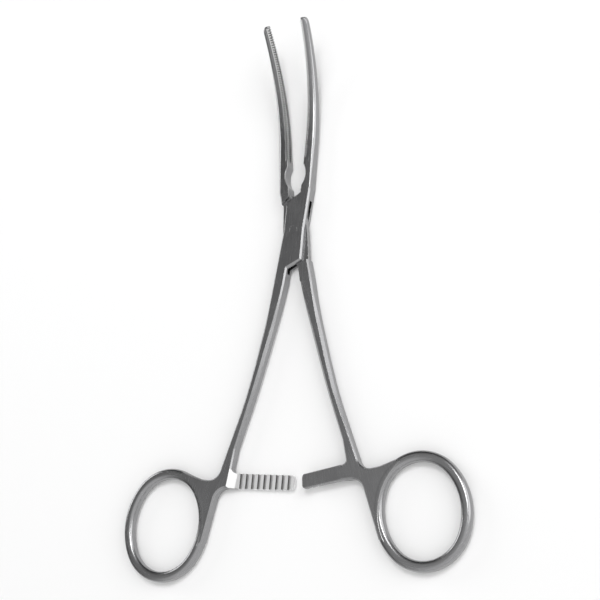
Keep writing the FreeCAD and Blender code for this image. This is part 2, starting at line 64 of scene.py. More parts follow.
GRAIN = "grain"
STEEL = "satin_steel"
PAINTED_HIGHLIGHT_CREST = "worn_steel"
PAINTED_SHADE_FLANK = "dark_steel"
GROUND = "ground_steel"
FINISHES = (STEEL, PAINTED_HIGHLIGHT_CREST, PAINTED_SHADE_FLANK, GROUND)
RIVET_STEEL = "satin_rivet_steel"

# Two places nearer than NEARLY are one, and two sides that turn less than PARALLEL run on as one.
NEARLY = 1e-6
PARALLEL = 1e-4
SHARP_ANGLE = math.radians(25)

# An oval's end arcs and side arcs have their centres this far from its middle, as shares of its excess of
# length over width.
OVAL_END, OVAL_SIDE = 1.4, 2.25
OVAL_SPAN = math.hypot(OVAL_END, OVAL_SIDE)

# The web's free corners in millimetres, out and down: its shoulder from the shank's outer side, its crotch
# from the root of the bar, and its neck from where the shank's inner side would meet the bar. Each middle is
# that of the arc which rounds the corner. The other corners, and the middle of the web's side of the ring,
# are in degrees round the ring from its short axis.
WEB_SHOULDER, WEB_SHOULDER_MIDDLE = ((1.7, 5.7), (5.6, 9.1), (8.2, 8.9)), (3.1, 8.2)
WEB_CROTCH, WEB_CROTCH_MIDDLE = ((5.7, 3.0), (2.2, 0.0)), (4.4, 0.95)
WEB_NECK, WEB_NECK_MIDDLE = (0.7, -1.4), (0.3, -0.4)
WEB_OUTER_FLANK, WEB_OUTER_TIP = 108, 98
WEB_INNER_TIP, WEB_INNER_FLANK = 208, 196
WEB_SIDE = 140

# How the steel's brush lines, clouds and edges look. Noise lies mostly within NOISE_RANGE. An edge takes
# the full painted highlight where the agreement of the surface's own direction with the blended one falls to
# EDGE_AGREEMENT.
BEVEL_SAMPLES = 6
EDGE_AGREEMENT = 0.9
NOISE_RANGE = (0.25, 0.75)
LINE_STRETCH = 0.03
CLOUDS_PER_METRE = 180.0
TONE_CHANGE = 0.1
LINE_TONES, CLOUD_TONES = (0.0, 0.6), (0.1, 0.4)
LINE_ROUGHNESS, CLOUD_ROUGHNESS = 0.05, 0.03
RELIEF_STRENGTH, RELIEF_DEPTH = 0.12, 0.02 * MM

# The room brightens towards WINDOW_SIDE, between the two values of WINDOW_REACH on a scale from -1 to 1.
WINDOW_SIDE = (0.62, -0.60, 0.50)
WINDOW_REACH = (-0.45, 0.75)
STAGE_COLOUR = (0.97, 0.97, 0.97, 1.0)
STAGE_DROP = 0.02 * MM
STAGE_RADII = (0.0, 0.3, 9.0)
GLOW_START, GLOW_FULL = 0.16, 0.42
LAMP_TARGET = (0, -0.02, 0)
# Each lamp's place and width in metres, and the setting that holds its power.
LAMPS = {
    "overhead_lamp": ((0.24, 0.32, 1.0), 0.35, "key_power"),
    "right_lamp": ((0.9, 0.3, 0.5), 0.85, "right_power"),
    "left_lamp": ((-0.92, 0.38, 0.36), 0.5, "left_power"),
}
SENSOR_WIDTH = 36.0
CLIP_START = 0.01

# Each half is built in a frame of its own: the pivot at 0,0, the mid plane at z = 0 and the flat face of
# the jaw parallel to Y. "out" is measured from the pivot line towards the side that the form lies on.


def quantity(name, description, value, **kind):
    return FloatProperty(name=name, description=description, default=value, **kind)


def length(name, description, millimetres):
    return quantity(name, description, millimetres * MM, unit="LENGTH", precision=5)


def angle(name, description, degrees):
    return quantity(name, description, math.radians(degrees), unit="ROTATION")


def share(name, description, value):
    return quantity(name, description, value, subtype="FACTOR", min=0.0, max=1.0)


def power(name, description, watts):
    return quantity(name, description, watts, unit="POWER")


def colour(name, description, value):
    return FloatVectorProperty(name=name, description=description, default=value, subtype="COLOR",
                               min=0.0, max=1.0)


class BoxLockSizes(bpy.types.PropertyGroup):
    """Sizes of the box, its slot and the roots on either side of it."""

    edge_bevel: length("Edge bevel", "Bevel along the outer edges of the box and the roots", 0.45)
    plate_half_width: length("Plate half width", "Half the width of the box plate", 3.45)
    plate_upper_reach: length("Plate upper reach", "From the pivot to the plate's upper edge", 11.4)
    plate_upper_angle: angle("Plate upper angle", "Slant of the plate's upper edge", 35.0)
    plate_lower_reach: length("Plate lower reach", "From the pivot to the plate's lower edge", 11.4)
    plate_lower_angle: angle("Plate lower angle", "Slant of the plate's lower edge", 27.0)
    slot_thickness: length("Slot thickness", "Height of the slot in which the tongue turns", 1.5)
    slot_end_out: length("Slot end out", "Where the slanting end of the slot is measured", 4.1)
    slot_end_reach: length("Slot end reach", "From the pivot to the slot's slanting end", 9.2)
    slot_end_angle: angle("Slot end angle", "Slant of the slot's ends", 57.0)
    tongue_clearance: length("Tongue clearance", "Gap between the tongue and each side of the slot", 0.05)
    tongue_half_width: length("Tongue half width", "Half the width of the tongue", 4.1)
    tongue_corner_out: length("Tongue corner out", "Where the tongue's corner lies", 3.6)
    tongue_corner_reach: length("Tongue corner reach", "From the pivot to the tongue's corner", 7.8)
    tongue_end_reach: length("Tongue end reach", "From the pivot to the tongue's end", 11.0)
    tongue_root_width: length("Tongue root width", "Where the shoulder of the jaw's root ends", 3.9)
    root_inset: length("Root inset", "How far the plate's inner corner lies inside the root", 0.5)
    shoulder_inset: length("Shoulder inset", "How far the lower shoulder's corner lies inside the root", 0.9)
    tongue_overlap: length("Tongue overlap", "How far the tongue's ends stay inside the two roots", 0.6)
    upper_gap: length("Upper shoulder gap", "Gap between the plate's upper edge and the shoulder", 0.5)
    lower_gap: length("Lower shoulder gap", "Gap between the plate's lower edge and the shoulder", 1.1)
    running_clearance: length("Running clearance", "Gap between the rivet and the tongue's hole", 0.05)


class JawSizes(bpy.types.PropertyGroup):
    """Sizes of the two bent jaws."""

    half_opening: angle("Half opening", "How far each half is turned open", 4.0)
    face_out: length("Face out", "From the pivot line to the jaw's flat face", 1.2)
    root_reach: length("Root reach", "From the pivot to the end of the jaw's root", 13.0)
    root_width: length("Root width", "Width of the jaw's root", 3.2)
    bend_start: length("Bend start", "From the pivot to the start of the bend", 28.4)
    bend_radius: length("Bend radius", "Radius of the upward bend", 68.6)
    bend_angle: angle("Bend angle", "How far the jaw bends up", 31.9)
    width_base: length("Width at the bend", "Width of the jaw where its bend starts", 3.25)
    width_tip: length("Width at the tip", "Width of the jaw at its tip", 2.1)
    height_base: length("Height at the bend", "Height of the jaw where its bend starts", 3.4)
    height_tip: length("Height at the tip", "Height of the jaw at its tip", 2.2)
    round_base: length("Back radius at the bend", "Radius of the back's corners at the bend", 1.2)
    round_tip: length("Back radius at the tip", "Radius of the back's corners at the tip", 0.85)
    tip_overrun: length("Tip overrun", "How far the tip runs on past the end of the bend", 1.4)
    nose_length: length("Nose length", "Length over which the back rounds down to the tip", 2.1)
    nose_width: share("Nose width", "Share of the jaw's width that is left at its end", 0.42)
    nose_height: share("Nose height", "Share of the jaw's height that is left at its end", 0.6)
    notch_lower: length("Notch lower end", "Where the hollow at the heel starts", 14.2)
    notch_upper: length("Notch upper end", "Where the hollow at the heel ends", 21.2)
    notch_depth: length("Notch depth", "Depth of the hollow at the heel", 1.05)
    face_edge: length("Face edge", "Small bevel where the flat face meets the sides", 0.12)


class ToothSizes(bpy.types.PropertyGroup):
    """Sizes of the fine teeth on the jaws and of the saw teeth on the ratchet bars."""

    first_reach: length("First tooth", "From the pivot to the first fine tooth", 22.3)
    pitch: length("Tooth pitch", "From one fine tooth to the next", 0.77)
    depth: length("Tooth depth", "Height of a fine tooth", 0.5)
    mouth: length("Tooth mouth", "Width of the notch between two fine teeth", 0.46)
    groove_width: length("Groove width", "Width of the groove between the two rows", 1.0)
    groove_depth: length("Groove depth", "Depth of the groove between the two rows", 0.6)
    ridge_width: length("Ridge width", "Width of the single row that enters the groove", 0.75)
    ridge_height: length("Ridge height", "Height of the single row", 0.45)
    saw_pitch: length("Saw pitch", "From one ratchet tooth to the next", 1.98)
    saw_depth: length("Saw depth", "Depth of a ratchet tooth", 0.55)
    saw_ramp: share("Saw ramp", "Share of the pitch that a ratchet tooth's ramp takes", 0.8)
    box_saw_out: length("Box half's saw teeth", "Where the first tooth of its bar stands", 10.9)
    tongue_saw_out: length("Tongue half's saw teeth", "Where the last tooth of its bar stands", 0.6)
    box_bar_teeth: IntProperty(
        name="Teeth on the box half", description="Ratchet teeth on the long bar", default=9)
    tongue_bar_teeth: IntProperty(
        name="Teeth on the tongue half", description="Ratchet teeth on the short bar", default=3)


class ShankSizes(bpy.types.PropertyGroup):
    """Sizes of the shanks at five stations from the box to the web."""

    root_reach: length("Root reach", "From the pivot to the end of the shank's root", 17.0)
    root_inner: length("Root inner", "From the pivot line to the inner side of the root", 1.6)
    root_width: length("Root width", "Width of the shank's root", 3.65)
    neck_reach: length("Neck reach", "From the pivot to the neck", 22.0)
    neck_out: length("Neck out", "Middle of the shank at the neck", 4.1)
    neck_width: length("Neck width", "Width of the shank at the neck", 3.4)
    neck_thickness: length("Neck thickness", "Thickness of the shank at the neck", 3.62)
    upper_reach: length("Upper reach", "From the pivot to the upper station", 30.5)
    upper_out: length("Upper out", "Middle of the shank at the upper station", 5.6)
    upper_width: length("Upper width", "Width of the shank at the upper station", 3.25)
    lower_reach: length("Lower reach", "From the pivot to the lower station", 50.8)
    lower_out: length("Lower out", "Middle of the shank at the lower station", 9.85)
    lower_width: length("Lower width", "Width of the shank at the lower station", 2.6)
    end_reach: length("End reach", "From the pivot to the web", 66.0)
    end_out: length("End out", "Middle of the shank where it meets the web", 14.0)
    end_width: length("End width", "Width of the shank where it meets the web", 2.5)
    thickness: length("Thickness", "Thickness of the shank", 3.3)
    bevel: length("Bevel", "Bevel along the shank's four edges", 0.75)


class HandleSizes(bpy.types.PropertyGroup):
    """Sizes of the webs, the finger rings and the ratchet bars."""

    web_thickness: length("Web thickness", "Thickness of the web", 3.04)
    web_bevel: length("Web bevel", "Bevel round the web", 0.4)
    ring_out: length("Ring out", "From the pivot line to the ring's middle", 34.5)
    ring_reach: length("Ring reach", "From the pivot to the ring's middle", 88.2)
    box_ring_half_width: length("Box half's ring, half width", "Short half axis of its middle line", 13.0)
    box_ring_half_length: length("Box half's ring, half length", "Long half axis of its middle line", 15.0)
    box_ring_tilt: angle("Box half's ring, tilt", "Lean of its long axis", 1.2)
    tongue_ring_half_width: length(
        "Tongue half's ring, half width", "Short half axis of its middle line", 12.5)
    tongue_ring_half_length: length(
        "Tongue half's ring, half length", "Long half axis of its middle line", 14.6)
    tongue_ring_tilt: angle("Tongue half's ring, tilt", "Lean of its long axis", 8.4)
    wire_radius: length("Wire radius", "Half the thickness of the ring's wire", 1.5)
    wire_round: length("Wire rounding", "Radius of the wire's four corners", 1.15)
    bar_reach: length("Bar reach", "From the pivot to the middle of the ratchet bars", 75.1)
    bar_width: length("Bar width", "Width of a ratchet bar", 4.3)
    bar_root_out: length("Bar root", "Where a bar leaves its web", 12.6)
    box_bar_overrun: length("Box half's bar overrun", "How far its bar passes the pivot line", 6.9)
    tongue_bar_overrun: length("Tongue half's bar overrun", "How far its bar passes the pivot line", 0.3)
    box_bar_drop: length("Box half's bar drop", "How far its bar's end leans down", 0.4)
    tongue_bar_drop: length("Tongue half's bar drop", "How far its bar's end leans down", 1.0)
    bar_taper: length("Bar taper", "How much narrower a bar is at its end", 0.2)
    bar_gap: length("Bar gap", "Gap between the crests of the two bars", 0.12)
    bar_corner: length("Bar corner", "Radius of the corners at a bar's end", 0.9)
    bar_fillet: length("Bar fillet", "How far the web's corners run out along the bar", 0.8)
    ground_slope: length("Ground slope", "How far the ground face runs up to the web's surface", 2.0)
    ground_lean: share("Ground lean", "Lean of the ground face's border along the shank", 0.13)
    bar_bevel: length("Bar bevel", "Bevel along a bar's outer edges", 0.25)


class FinishSettings(bpy.types.PropertyGroup):
    """Colours of the steel, with the painted highlight on its edges and the painted light and shade of its
    teeth.
    """

    steel: colour("Steel", "Colour of the satin steel", (0.315, 0.315, 0.32))
    ground: colour("Ground steel", "Colour of the ground face of the ratchet", (0.80, 0.80, 0.80))
    # The crests' light colour is a painted highlight on the crests and ends of the fine teeth.
    crest: colour("Crests", "Colour of the worn crests of the teeth", (0.74, 0.74, 0.74))
    # The flanks' near black is painted shade, in the gaps between the fine teeth and on the steep faces of
    # the saw teeth.
    painted_flank_shade: colour("Flanks", "Colour of the dull steel between the teeth", (0.05, 0.05, 0.05))
    # The bright edge colour is a painted highlight along edges and corners.
    painted_edge_highlight: colour("Bright edge", "Colour of steel that handling has polished", (0.42, 0.42, 0.42))
    roughness: share("Roughness", "Roughness of the satin steel", 0.24)
    ground_roughness: share("Ground roughness", "Roughness of the ground face", 0.6)
    edge_softness: length("Edge softness", "Radius to which edges and corners are blended", 0.12)
    tooth_softness: length("Tooth softness", "Radius to which the edges of teeth are blended", 0.02)
    line_spacing: length("Line spacing", "Distance between two brush lines", 0.12)


class StageSettings(bpy.types.PropertyGroup):
    """The camera, the lamps and the pale stage."""

    yaw: angle("Yaw", "Turn of the camera about the Y axis", 29.225)
    pitch: angle("Pitch", "Turn of the camera towards the rings", 18.5)
    roll: angle("Roll", "Roll of the camera", 1.654)
    distance: length("Distance", "From the camera to its target", 364.83)
    target_x: length("Target X", "Where the camera looks", 1.947)
    target_y: length("Target Y", "Where the camera looks", -21.907)
    lens: quantity("Lens", "Focal length for a 36 mm sensor", 74.68)
    key_power: power("Key power", "Power of the lamp overhead", 3.0)
    right_power: power("Right power", "Power of the lamp on the right", 3.2)
    left_power: power("Left power", "Power of the lamp on the left", 2.4)
    dim_side: quantity("Dim side", "Brightness of the room away from the window", 0.07)
    window_side: quantity("Window side", "Brightness of the room at the window", 0.95)


class ClampSettings(bpy.types.PropertyGroup):
    """All settings of the clamp and its stage."""

    lock: PointerProperty(type=BoxLockSizes)
    jaws: PointerProperty(type=JawSizes)
    teeth: PointerProperty(type=ToothSizes)
    shanks: PointerProperty(type=ShankSizes)
    handles: PointerProperty(type=HandleSizes)
    finish: PointerProperty(type=FinishSettings)
    stage: PointerProperty(type=StageSettings)


class Shell:
    """A closed skin: its points, its faces with their finishes, and each point along the brush lines."""

    def __init__(self, points, faces, finishes=None):
        self.points = [Vector(point) for point in points]
        self.faces = [tuple(face) for face in faces]
        self.finishes = finishes or [STEEL] * len(self.faces)
        self.grain = [tuple(point) for point in self.points]

    def finished(self, finish):
        """The same skin with one finish all over."""
        self.finishes = [finish] * len(self.faces)
        return self

    def brushed(self, direction):
        """The same skin with its brush lines along a direction in the plane of the clamp."""
        along = Vector(direction).to_3d().normalized()
        across = along.cross(Vector((0, 0, 1)))
        self.grain = [(point.dot(across), point.dot(along), point.z) for point in self.points]
        return self


def shell_from_mesh(mesh):
    faces = [polygon.vertices for polygon in mesh.polygons]
    finishes = [FINISHES[polygon.material_index] for polygon in mesh.polygons]
    return Shell([vertex.co for vertex in mesh.vertices], faces, finishes)


def mesh_from_shells(name, shells, placement=Matrix()):
    """One mesh of several skins, with smooth faces, sharp edges and the brushing direction."""
    points, faces, grain, finishes = [], [], [], []
    for shell in shells:
        first = len(points)
        finishes += [FINISHES.index(finish) for finish in shell.finishes]
        points += [placement @ point for point in shell.points]
        faces += [tuple(first + index for index in face) for face in shell.faces]
        grain += shell.grain
    mesh = bpy.data.meshes.new(name)
    mesh.from_pydata(points, [], faces)
    for finish in FINISHES:
        mesh.materials.append(steel_material(finish))
    outward = bmesh.new()
    outward.from_mesh(mesh)
    bmesh.ops.recalc_face_normals(outward, faces=outward.faces)
    outward.to_mesh(mesh)
    outward.free()
    direction = mesh.attributes.new(GRAIN, "FLOAT_VECTOR", "POINT")
    direction.data.foreach_set("vector", [value for row in grain for value in row])
    mesh.polygons.foreach_set("use_smooth", [True] * len(mesh.polygons))
    mesh.polygons.foreach_set("material_index", finishes)
    mesh.set_sharp_from_angle(angle=SHARP_ANGLE)
    return mesh


def skin(sections):
    """A closed skin through sections that have the same number of points each."""
    count = len(sections[0])
    points = [point for section in sections for point in section]
    faces = []
    for row in range(len(sections) - 1):
        for column in range(count):
            start = row * count + column
            beside = row * count + (column + 1) % count
            faces.append((start, beside, beside + count, start + count))
    last = (len(sections) - 1) * count
    faces.append(tuple(reversed(range(count))))
    faces.append(tuple(range(last, last + count)))
    return Shell(points, faces)


def arc_through(start, middle, stop, steps=10):
    """Points along the arc from start through middle to stop, with both ends."""
    start, middle, stop = (Vector(point).to_2d() for point in (start, middle, stop))
    first, second = middle - start, stop - start
    double_area = 2 * (first.x * second.y - first.y * second.x)
    across = (second.y * first.length_squared - first.y * second.length_squared) / double_area
    along = (first.x * second.length_squared - second.x * first.length_squared) / double_area
    centre = start + Vector((across, along))
    begin = math.atan2(start.y - centre.y, start.x - centre.x)
    sweep = math.atan2(stop.y - centre.y, stop.x - centre.x) - begin
    turn = math.atan2(middle.y - centre.y, middle.x - centre.x) - begin
    full = 2 * math.pi
    if turn % full > sweep % full:
        sweep = sweep % full - full
    else:
        sweep = sweep % full
    radius = (start - centre).length
    places = [begin + sweep * step / steps for step in range(steps + 1)]
    return [centre + radius * Vector((math.cos(place), math.sin(place))) for place in places]


def outline_with_arcs(points, arcs):
    """The outline through the points, where arcs gives the middle of the arc that replaces a side."""
    outline = []
    for number, point in enumerate(points):
        following = points[(number + 1) % len(points)]
        if number in arcs:
            outline += arc_through(point, arcs[number], following)[:-1]
        else:
            outline.append(Vector(point).to_2d())
    return outline


def counterclockwise(outline):
    area = sum(a.x * b.y - b.x * a.y for a, b in zip(outline, outline[1:] + outline[:1]))
    return outline if area > 0 else outline[::-1]


def inset(outline, width, keeps):
    """The outline moved inwards by width, apart from the sides that keeps picks out by their middles."""
    moved = []
    for start, stop in zip(outline, outline[1:] + outline[:1]):
        run = (stop - start).normalized()
        shift = 0.0 if keeps((start + stop) / 2) else width
        moved.append((start + Vector((-run.y, run.x)) * shift, run))
    corners = []
    for (before, back), (after, ahead) in zip(moved[-1:] + moved[:-1], moved):
        turn = back.x * ahead.y - back.y * ahead.x
        gap = after - before
        if abs(turn) < PARALLEL:
            corners.append(after)
        else:
            corners.append(before + back * ((gap.x * ahead.y - gap.y * ahead.x) / turn))
    return corners


def never(middle):
    return False


def same(place, other):
    return abs(place - other) < NEARLY


def prism(outline, low, high, bevel_low=0.0, bevel_high=0.0, keeps=never):
    """An upright solid on an outline, with its lower and upper edges bevelled where they aren't kept."""
    outline = counterclockwise(outline)
    layers = []
    if bevel_low:
        layers.append((inset(outline, bevel_low, keeps), low))
    layers += [(outline, low + bevel_low), (outline, high - bevel_high)]
    if bevel_high:
        layers.append((inset(outline, bevel_high, keeps), high))
    return skin([[(point.x, point.y, height) for point in layer] for layer, height in layers])


def disc_outline(radius, steps=64):
    turns = [2 * math.pi * step / steps for step in range(steps)]
    return [Vector((radius * math.cos(turn), radius * math.sin(turn))) for turn in turns]


def worked(mesh, work):
    """The skin that a mesh becomes after work has added modifiers to an object that holds it."""
    thing = bpy.data.objects.new("work", mesh)
    bpy.context.scene.collection.objects.link(thing)
    helpers = work(thing)
    result = bpy.data.meshes.new_from_object(thing.evaluated_get(bpy.context.evaluated_depsgraph_get()))
    for leftover in [thing] + helpers:
        bpy.data.objects.remove(leftover)
    if not result.polygons:
        raise RuntimeError("a modifier left nothing of a skin")
    return shell_from_mesh(result)


def cut(shell, cutters):
    """The skin without what the cutters hold."""

    def add_cutters(thing):
        tools = []
        for cutter in cutters:
            tool = bpy.data.objects.new("cutter", mesh_from_shells("cutter", [cutter]))
            bpy.context.scene.collection.objects.link(tool)
            modifier = thing.modifiers.new("cut", "BOOLEAN")
            modifier.operation = "DIFFERENCE"
            modifier.solver = "EXACT"
            modifier.object = tool
            tools.append(tool)
        return tools

    return worked(mesh_from_shells("solid", [shell]), add_cutters)


def grown(mesh, tree, values):
    """The skin that a geometry node tree makes of a mesh, with the tree's named inputs set."""

    def add_tree(thing):
        modifier = thing.modifiers.new("nodes", "NODES")
        modifier.node_group = tree
        sockets = {item.name: item.identifier for item in tree.interface.items_tree if item.in_out == "INPUT"}
        for name, value in values.items():
            modifier[sockets[name]] = value
        return []

    return worked(mesh, add_tree)


def row_of_copies(shell, count, turn=0.0, pivot=(0, 0, 0), shift=(0, 0, 0), end_scale=1.0, centre=0.0):
    """A skin repeated in a row: turned about an axis along X or shifted, and narrowed up and down."""
    tree = kept("row_of_copies", copies_tree)
    row = grown(mesh_from_shells("first", [shell]), tree, {
        "Count": count, "Turn": (turn, 0.0, 0.0), "Pivot": pivot, "Shift": shift,
        "End Scale": (1.0, 1.0, end_scale), "Scale Centre": (0.0, 0.0, centre),
        "Material": steel_material(shell.finishes[0])})
    row.finishes = shell.finishes * count
    return row


def wired(tree, node, inputs):
    """The node with a value or a link at each named input. A node stands for its own first output."""
    for socket, value in inputs.items():
        if isinstance(value, bpy.types.Node):
            value = value.outputs[0]
        if isinstance(value, bpy.types.NodeSocket):
            tree.links.new(value, node.inputs[socket])
        else:
            node.inputs[socket].default_value = value
    return node


def placed(tree, kind, inputs, **traits):
    """A new node in a tree, with its traits set and its inputs wired."""
    node = tree.nodes.new(kind)
    for trait, value in traits.items():
        setattr(node, trait, value)
    return wired(tree, node, inputs)


def new_tree(name, inputs):
    """An empty geometry node tree with its inputs, and its two ends."""
    tree = bpy.data.node_groups.new(name, "GeometryNodeTree")
    tree.interface.new_socket("Geometry", in_out="OUTPUT", socket_type="NodeSocketGeometry")
    tree.interface.new_socket("Geometry", in_out="INPUT", socket_type="NodeSocketGeometry")
    for label, kind in inputs.items():
        tree.interface.new_socket(label, in_out="INPUT", socket_type=f"NodeSocket{kind}")
    return tree, tree.nodes.new("NodeGroupInput"), tree.nodes.new("NodeGroupOutput")


def copies_tree():
    """Repeats its input in a row that turns about a pivot, shifts along a line and narrows to its end."""
    tree, given, made = new_tree("row_of_copies", {
        "Count": "Int", "Turn": "Vector", "Pivot": "Vector", "Shift": "Vector",
        "End Scale": "Vector", "Scale Centre": "Vector", "Material": "Material"})
    sizes = given.outputs
    spots = placed(tree, "GeometryNodePoints", {"Count": sizes["Count"]})
    copies = placed(tree, "GeometryNodeInstanceOnPoints", {"Points": spots, "Instance": sizes["Geometry"]})
    number = placed(tree, "GeometryNodeInputIndex", {})

    def times_number(socket):
        return placed(tree, "ShaderNodeVectorMath", {0: socket, "Scale": number}, operation="SCALE")

    progress = placed(tree, "ShaderNodeMath", {0: number, 1: sizes["Count"]}, operation="DIVIDE")
    scale = placed(tree, "ShaderNodeMix", {0: progress, 4: (1.0, 1.0, 1.0), 5: sizes["End Scale"]},
                   data_type="VECTOR")
    narrowed = placed(tree, "GeometryNodeScaleInstances", {
        "Instances": copies, "Scale": scale.outputs[1], "Center": sizes["Scale Centre"]})
    turned = placed(tree, "GeometryNodeRotateInstances", {
        "Instances": narrowed, "Rotation": times_number(sizes["Turn"]), "Pivot Point": sizes["Pivot"],
        "Local Space": False})
    shifted = placed(tree, "GeometryNodeTranslateInstances", {
        "Instances": turned, "Translation": times_number(sizes["Shift"]), "Local Space": False})
    return finish_tree(tree, shifted, given, made)


def band_tree():
    """Sweeps a square section with rounded corners along a closed path, as a finger ring is forged."""
    tree, given, made = new_tree("swept_band", {
        "Thickness": "Float", "Rounding": "Float", "Corner Steps": "Int", "Material": "Material"})
    sizes = given.outputs
    path = placed(tree, "GeometryNodeMeshToCurve", {"Mesh": sizes["Geometry"]})
    upright = placed(tree, "GeometryNodeSetCurveNormal", {"Curve": path}, mode="Z_UP")
    square = placed(tree, "GeometryNodeCurvePrimitiveQuadrilateral", {
        "Width": sizes["Thickness"], "Height": sizes["Thickness"]})
    rounded = placed(tree, "GeometryNodeFilletCurve", {
        "Curve": square, "Radius": sizes["Rounding"], "Count": sizes["Corner Steps"]}, mode="POLY")
    band = placed(tree, "GeometryNodeCurveToMesh", {"Curve": upright, "Profile Curve": rounded})
    return finish_tree(tree, band, given, made)


def finish_tree(tree, result, given, made):
    """Ends a tree with plain geometry in its material."""
    real = placed(tree, "GeometryNodeRealizeInstances", {0: result})
    dressed = placed(tree, "GeometryNodeSetMaterial", {
        "Geometry": real, "Material": given.outputs["Material"]})
    wired(tree, made, {"Geometry": dressed})
    return tree


def kept(name, make):
    """A node tree by its name, made once."""
    if name not in bpy.data.node_groups:
        make().name = name
    return bpy.data.node_groups[name]


def mixed(low, high, portion):
    return low + (high - low) * portion


def smooth_value(stations, place):
    """A value at a place on the smooth curve through (place, value) stations."""
    ahead = [number for number in range(1, len(stations)) if place <= stations[number][0]]
    index = ahead[0] if ahead else len(stations) - 1
    (start, low), (stop, high) = stations[index - 1], stations[index]

    def rise(number):
        if number in (0, len(stations) - 1):
            beside = stations[1] if number == 0 else stations[-2]
            return (beside[1] - stations[number][1]) / (beside[0] - stations[number][0])
        (before, below), (after, above) = stations[number - 1], stations[number + 1]
        return (above - below) / (after - before)

    run = stop - start
    portion = (place - start) / run
    square, cube = portion ** 2, portion ** 3
    return ((2 * cube - 3 * square + 1) * low + (cube - 2 * square + portion) * run * rise(index - 1)
            + (3 * square - 2 * cube) * high + (cube - square) * run * rise(index))


class Half:
    """One forged half. side is 1 with the jaw on +X and the shank on -X, and -1 mirrored."""

    def __init__(self, kind, side, settings):
        self.kind = kind
        self.side = side
        self.lock = settings.lock
        self.jaws = settings.jaws
        self.teeth = settings.teeth
        self.shanks = settings.shanks
        self.handles = settings.handles
        self.top = (PIN_HIGH.z - PIN_LOW.z) / 2
        self.jaw_outer = self.jaws.face_out + self.jaws.root_width
        self.shank_outer = self.shanks.root_inner + self.shanks.root_width

    def jaw(self, out, reach):
        return Vector((self.side * out, reach))

    def shank(self, out, reach):
        return Vector((-self.side * out, -reach))

    def own(self, name):
        """A handle size that this half has for itself."""
        return getattr(self.handles, f"{self.kind}_{name}")

    def own_teeth(self):
        """How many saw teeth this half's bar has."""
        return getattr(self.teeth, f"{self.kind}_bar_teeth")

    def placement(self):
        return Matrix.Translation(PIVOT) @ Matrix.Rotation(-self.side * self.jaws.half_opening, 4, "Z")

    def upper_edge(self, out):
        return self.lock.plate_upper_reach - math.tan(self.lock.plate_upper_angle) * out

    def lower_edge(self, out):
        return self.lock.plate_lower_reach - math.tan(self.lock.plate_lower_angle) * out

    def root_ends(self, middle):
        """Whether a side of a root's outline isn't bevelled: its ends, its shoulders and the jaw's face."""
        at_end = same(middle.y, self.jaws.root_reach) or same(middle.y, -self.shanks.root_reach)
        under_face = same(middle.x, self.side * self.jaws.face_out) and middle.y > 0
        if self.kind == "box":
            shoulder = self.side * middle.x < 0 and middle.y > self.lock.plate_upper_reach
        else:
            shoulder = self.jaws.face_out < abs(middle.x) < self.lock.plate_half_width
        return at_end or under_face or shoulder

    def root_prism(self, outline):
        bevel = self.lock.edge_bevel
        solid = prism([Vector(point) for point in outline], -self.top, self.top, bevel, bevel, self.root_ends)
        return solid.brushed((0, 1))

    def shank_direction(self):
        shanks = self.shanks
        return self.shank(shanks.end_out - shanks.neck_out, shanks.end_reach - shanks.neck_reach)


def box(half):
    """The box with the roots of the jaw and the shank, the slot through it and the rivet's hole."""
    lock, jaws, shanks = half.lock, half.jaws, half.shanks
    width = lock.plate_half_width
    inner = shanks.root_inner - lock.root_inset
    body = half.root_prism([
        half.jaw(jaws.face_out, jaws.root_reach),
        half.jaw(half.jaw_outer, jaws.root_reach),
        half.jaw(width, 0),
        half.shank(-width, half.lower_edge(width)),
        half.shank(inner, half.lower_edge(-inner)),
        half.shank(shanks.root_inner, shanks.root_reach),
        half.shank(half.shank_outer, shanks.root_reach),
        half.jaw(-width, 0),
        half.jaw(-width, half.upper_edge(width)),
        half.jaw(jaws.face_out, half.upper_edge(-jaws.face_out)),
    ])
    far = 3 * lock.tongue_half_width
    slope = math.tan(lock.slot_end_angle)

    def slot_end(out):
        return lock.slot_end_reach + slope * (lock.slot_end_out - out)

    slot = prism([half.jaw(far, slot_end(far)), half.jaw(-far, slot_end(-far)),
                  half.shank(far, slot_end(far)), half.shank(-far, slot_end(-far))],
                 -lock.slot_thickness / 2, lock.slot_thickness / 2)
    hole = prism(disc_outline(PIN_HIGH.x), -2 * half.top, 2 * half.top)
    return [cut(body, [slot, hole]).brushed((0, 1))]


def tongue(half):
    """The full roots of the jaw and the shank with their shoulders, and the thin tongue between them."""
    lock, jaws, shanks = half.lock, half.jaws, half.shanks

    def upper_shoulder(out):
        return half.jaw(out, half.upper_edge(out) + lock.upper_gap)

    def lower_shoulder(out):
        return half.shank(out, half.lower_edge(out) + lock.lower_gap)

    inner = shanks.root_inner - lock.root_inset
    jaw_root = half.root_prism([
        half.jaw(jaws.face_out, jaws.root_reach),
        half.jaw(half.jaw_outer, jaws.root_reach),
        upper_shoulder(lock.tongue_root_width),
        upper_shoulder(jaws.face_out),
    ])
    shank_root = half.root_prism([
        lower_shoulder(inner),
        lower_shoulder(half.shank_outer - lock.shoulder_inset),
        half.shank(half.shank_outer, shanks.root_reach),
        half.shank(shanks.root_inner, shanks.root_reach),
    ])
    width, corner, reach = lock.tongue_half_width, lock.tongue_corner_out, lock.tongue_corner_reach
    depth = lock.tongue_overlap
    inside = jaws.root_reach - depth
    outline = [
        half.jaw(jaws.face_out + depth, inside),
        half.jaw(width - depth, inside - depth),
        half.jaw(width, 0),
        half.jaw(corner, -reach),
        half.jaw(0, -lock.tongue_end_reach),
        half.shank(shanks.root_inner + depth, inside + 2 * depth),
        half.shank(width, inside),
        half.shank(width, 0),
        half.shank(corner, -reach),
        half.shank(0, -lock.tongue_end_reach),
    ]
    thin = lock.slot_thickness / 2 - lock.tongue_clearance
    hole = prism(disc_outline(PIN_HIGH.x + lock.running_clearance), -2 * thin, 2 * thin)
    return [jaw_root, shank_root, cut(prism(outline, -thin, thin), [hole]).brushed((0, 1))]


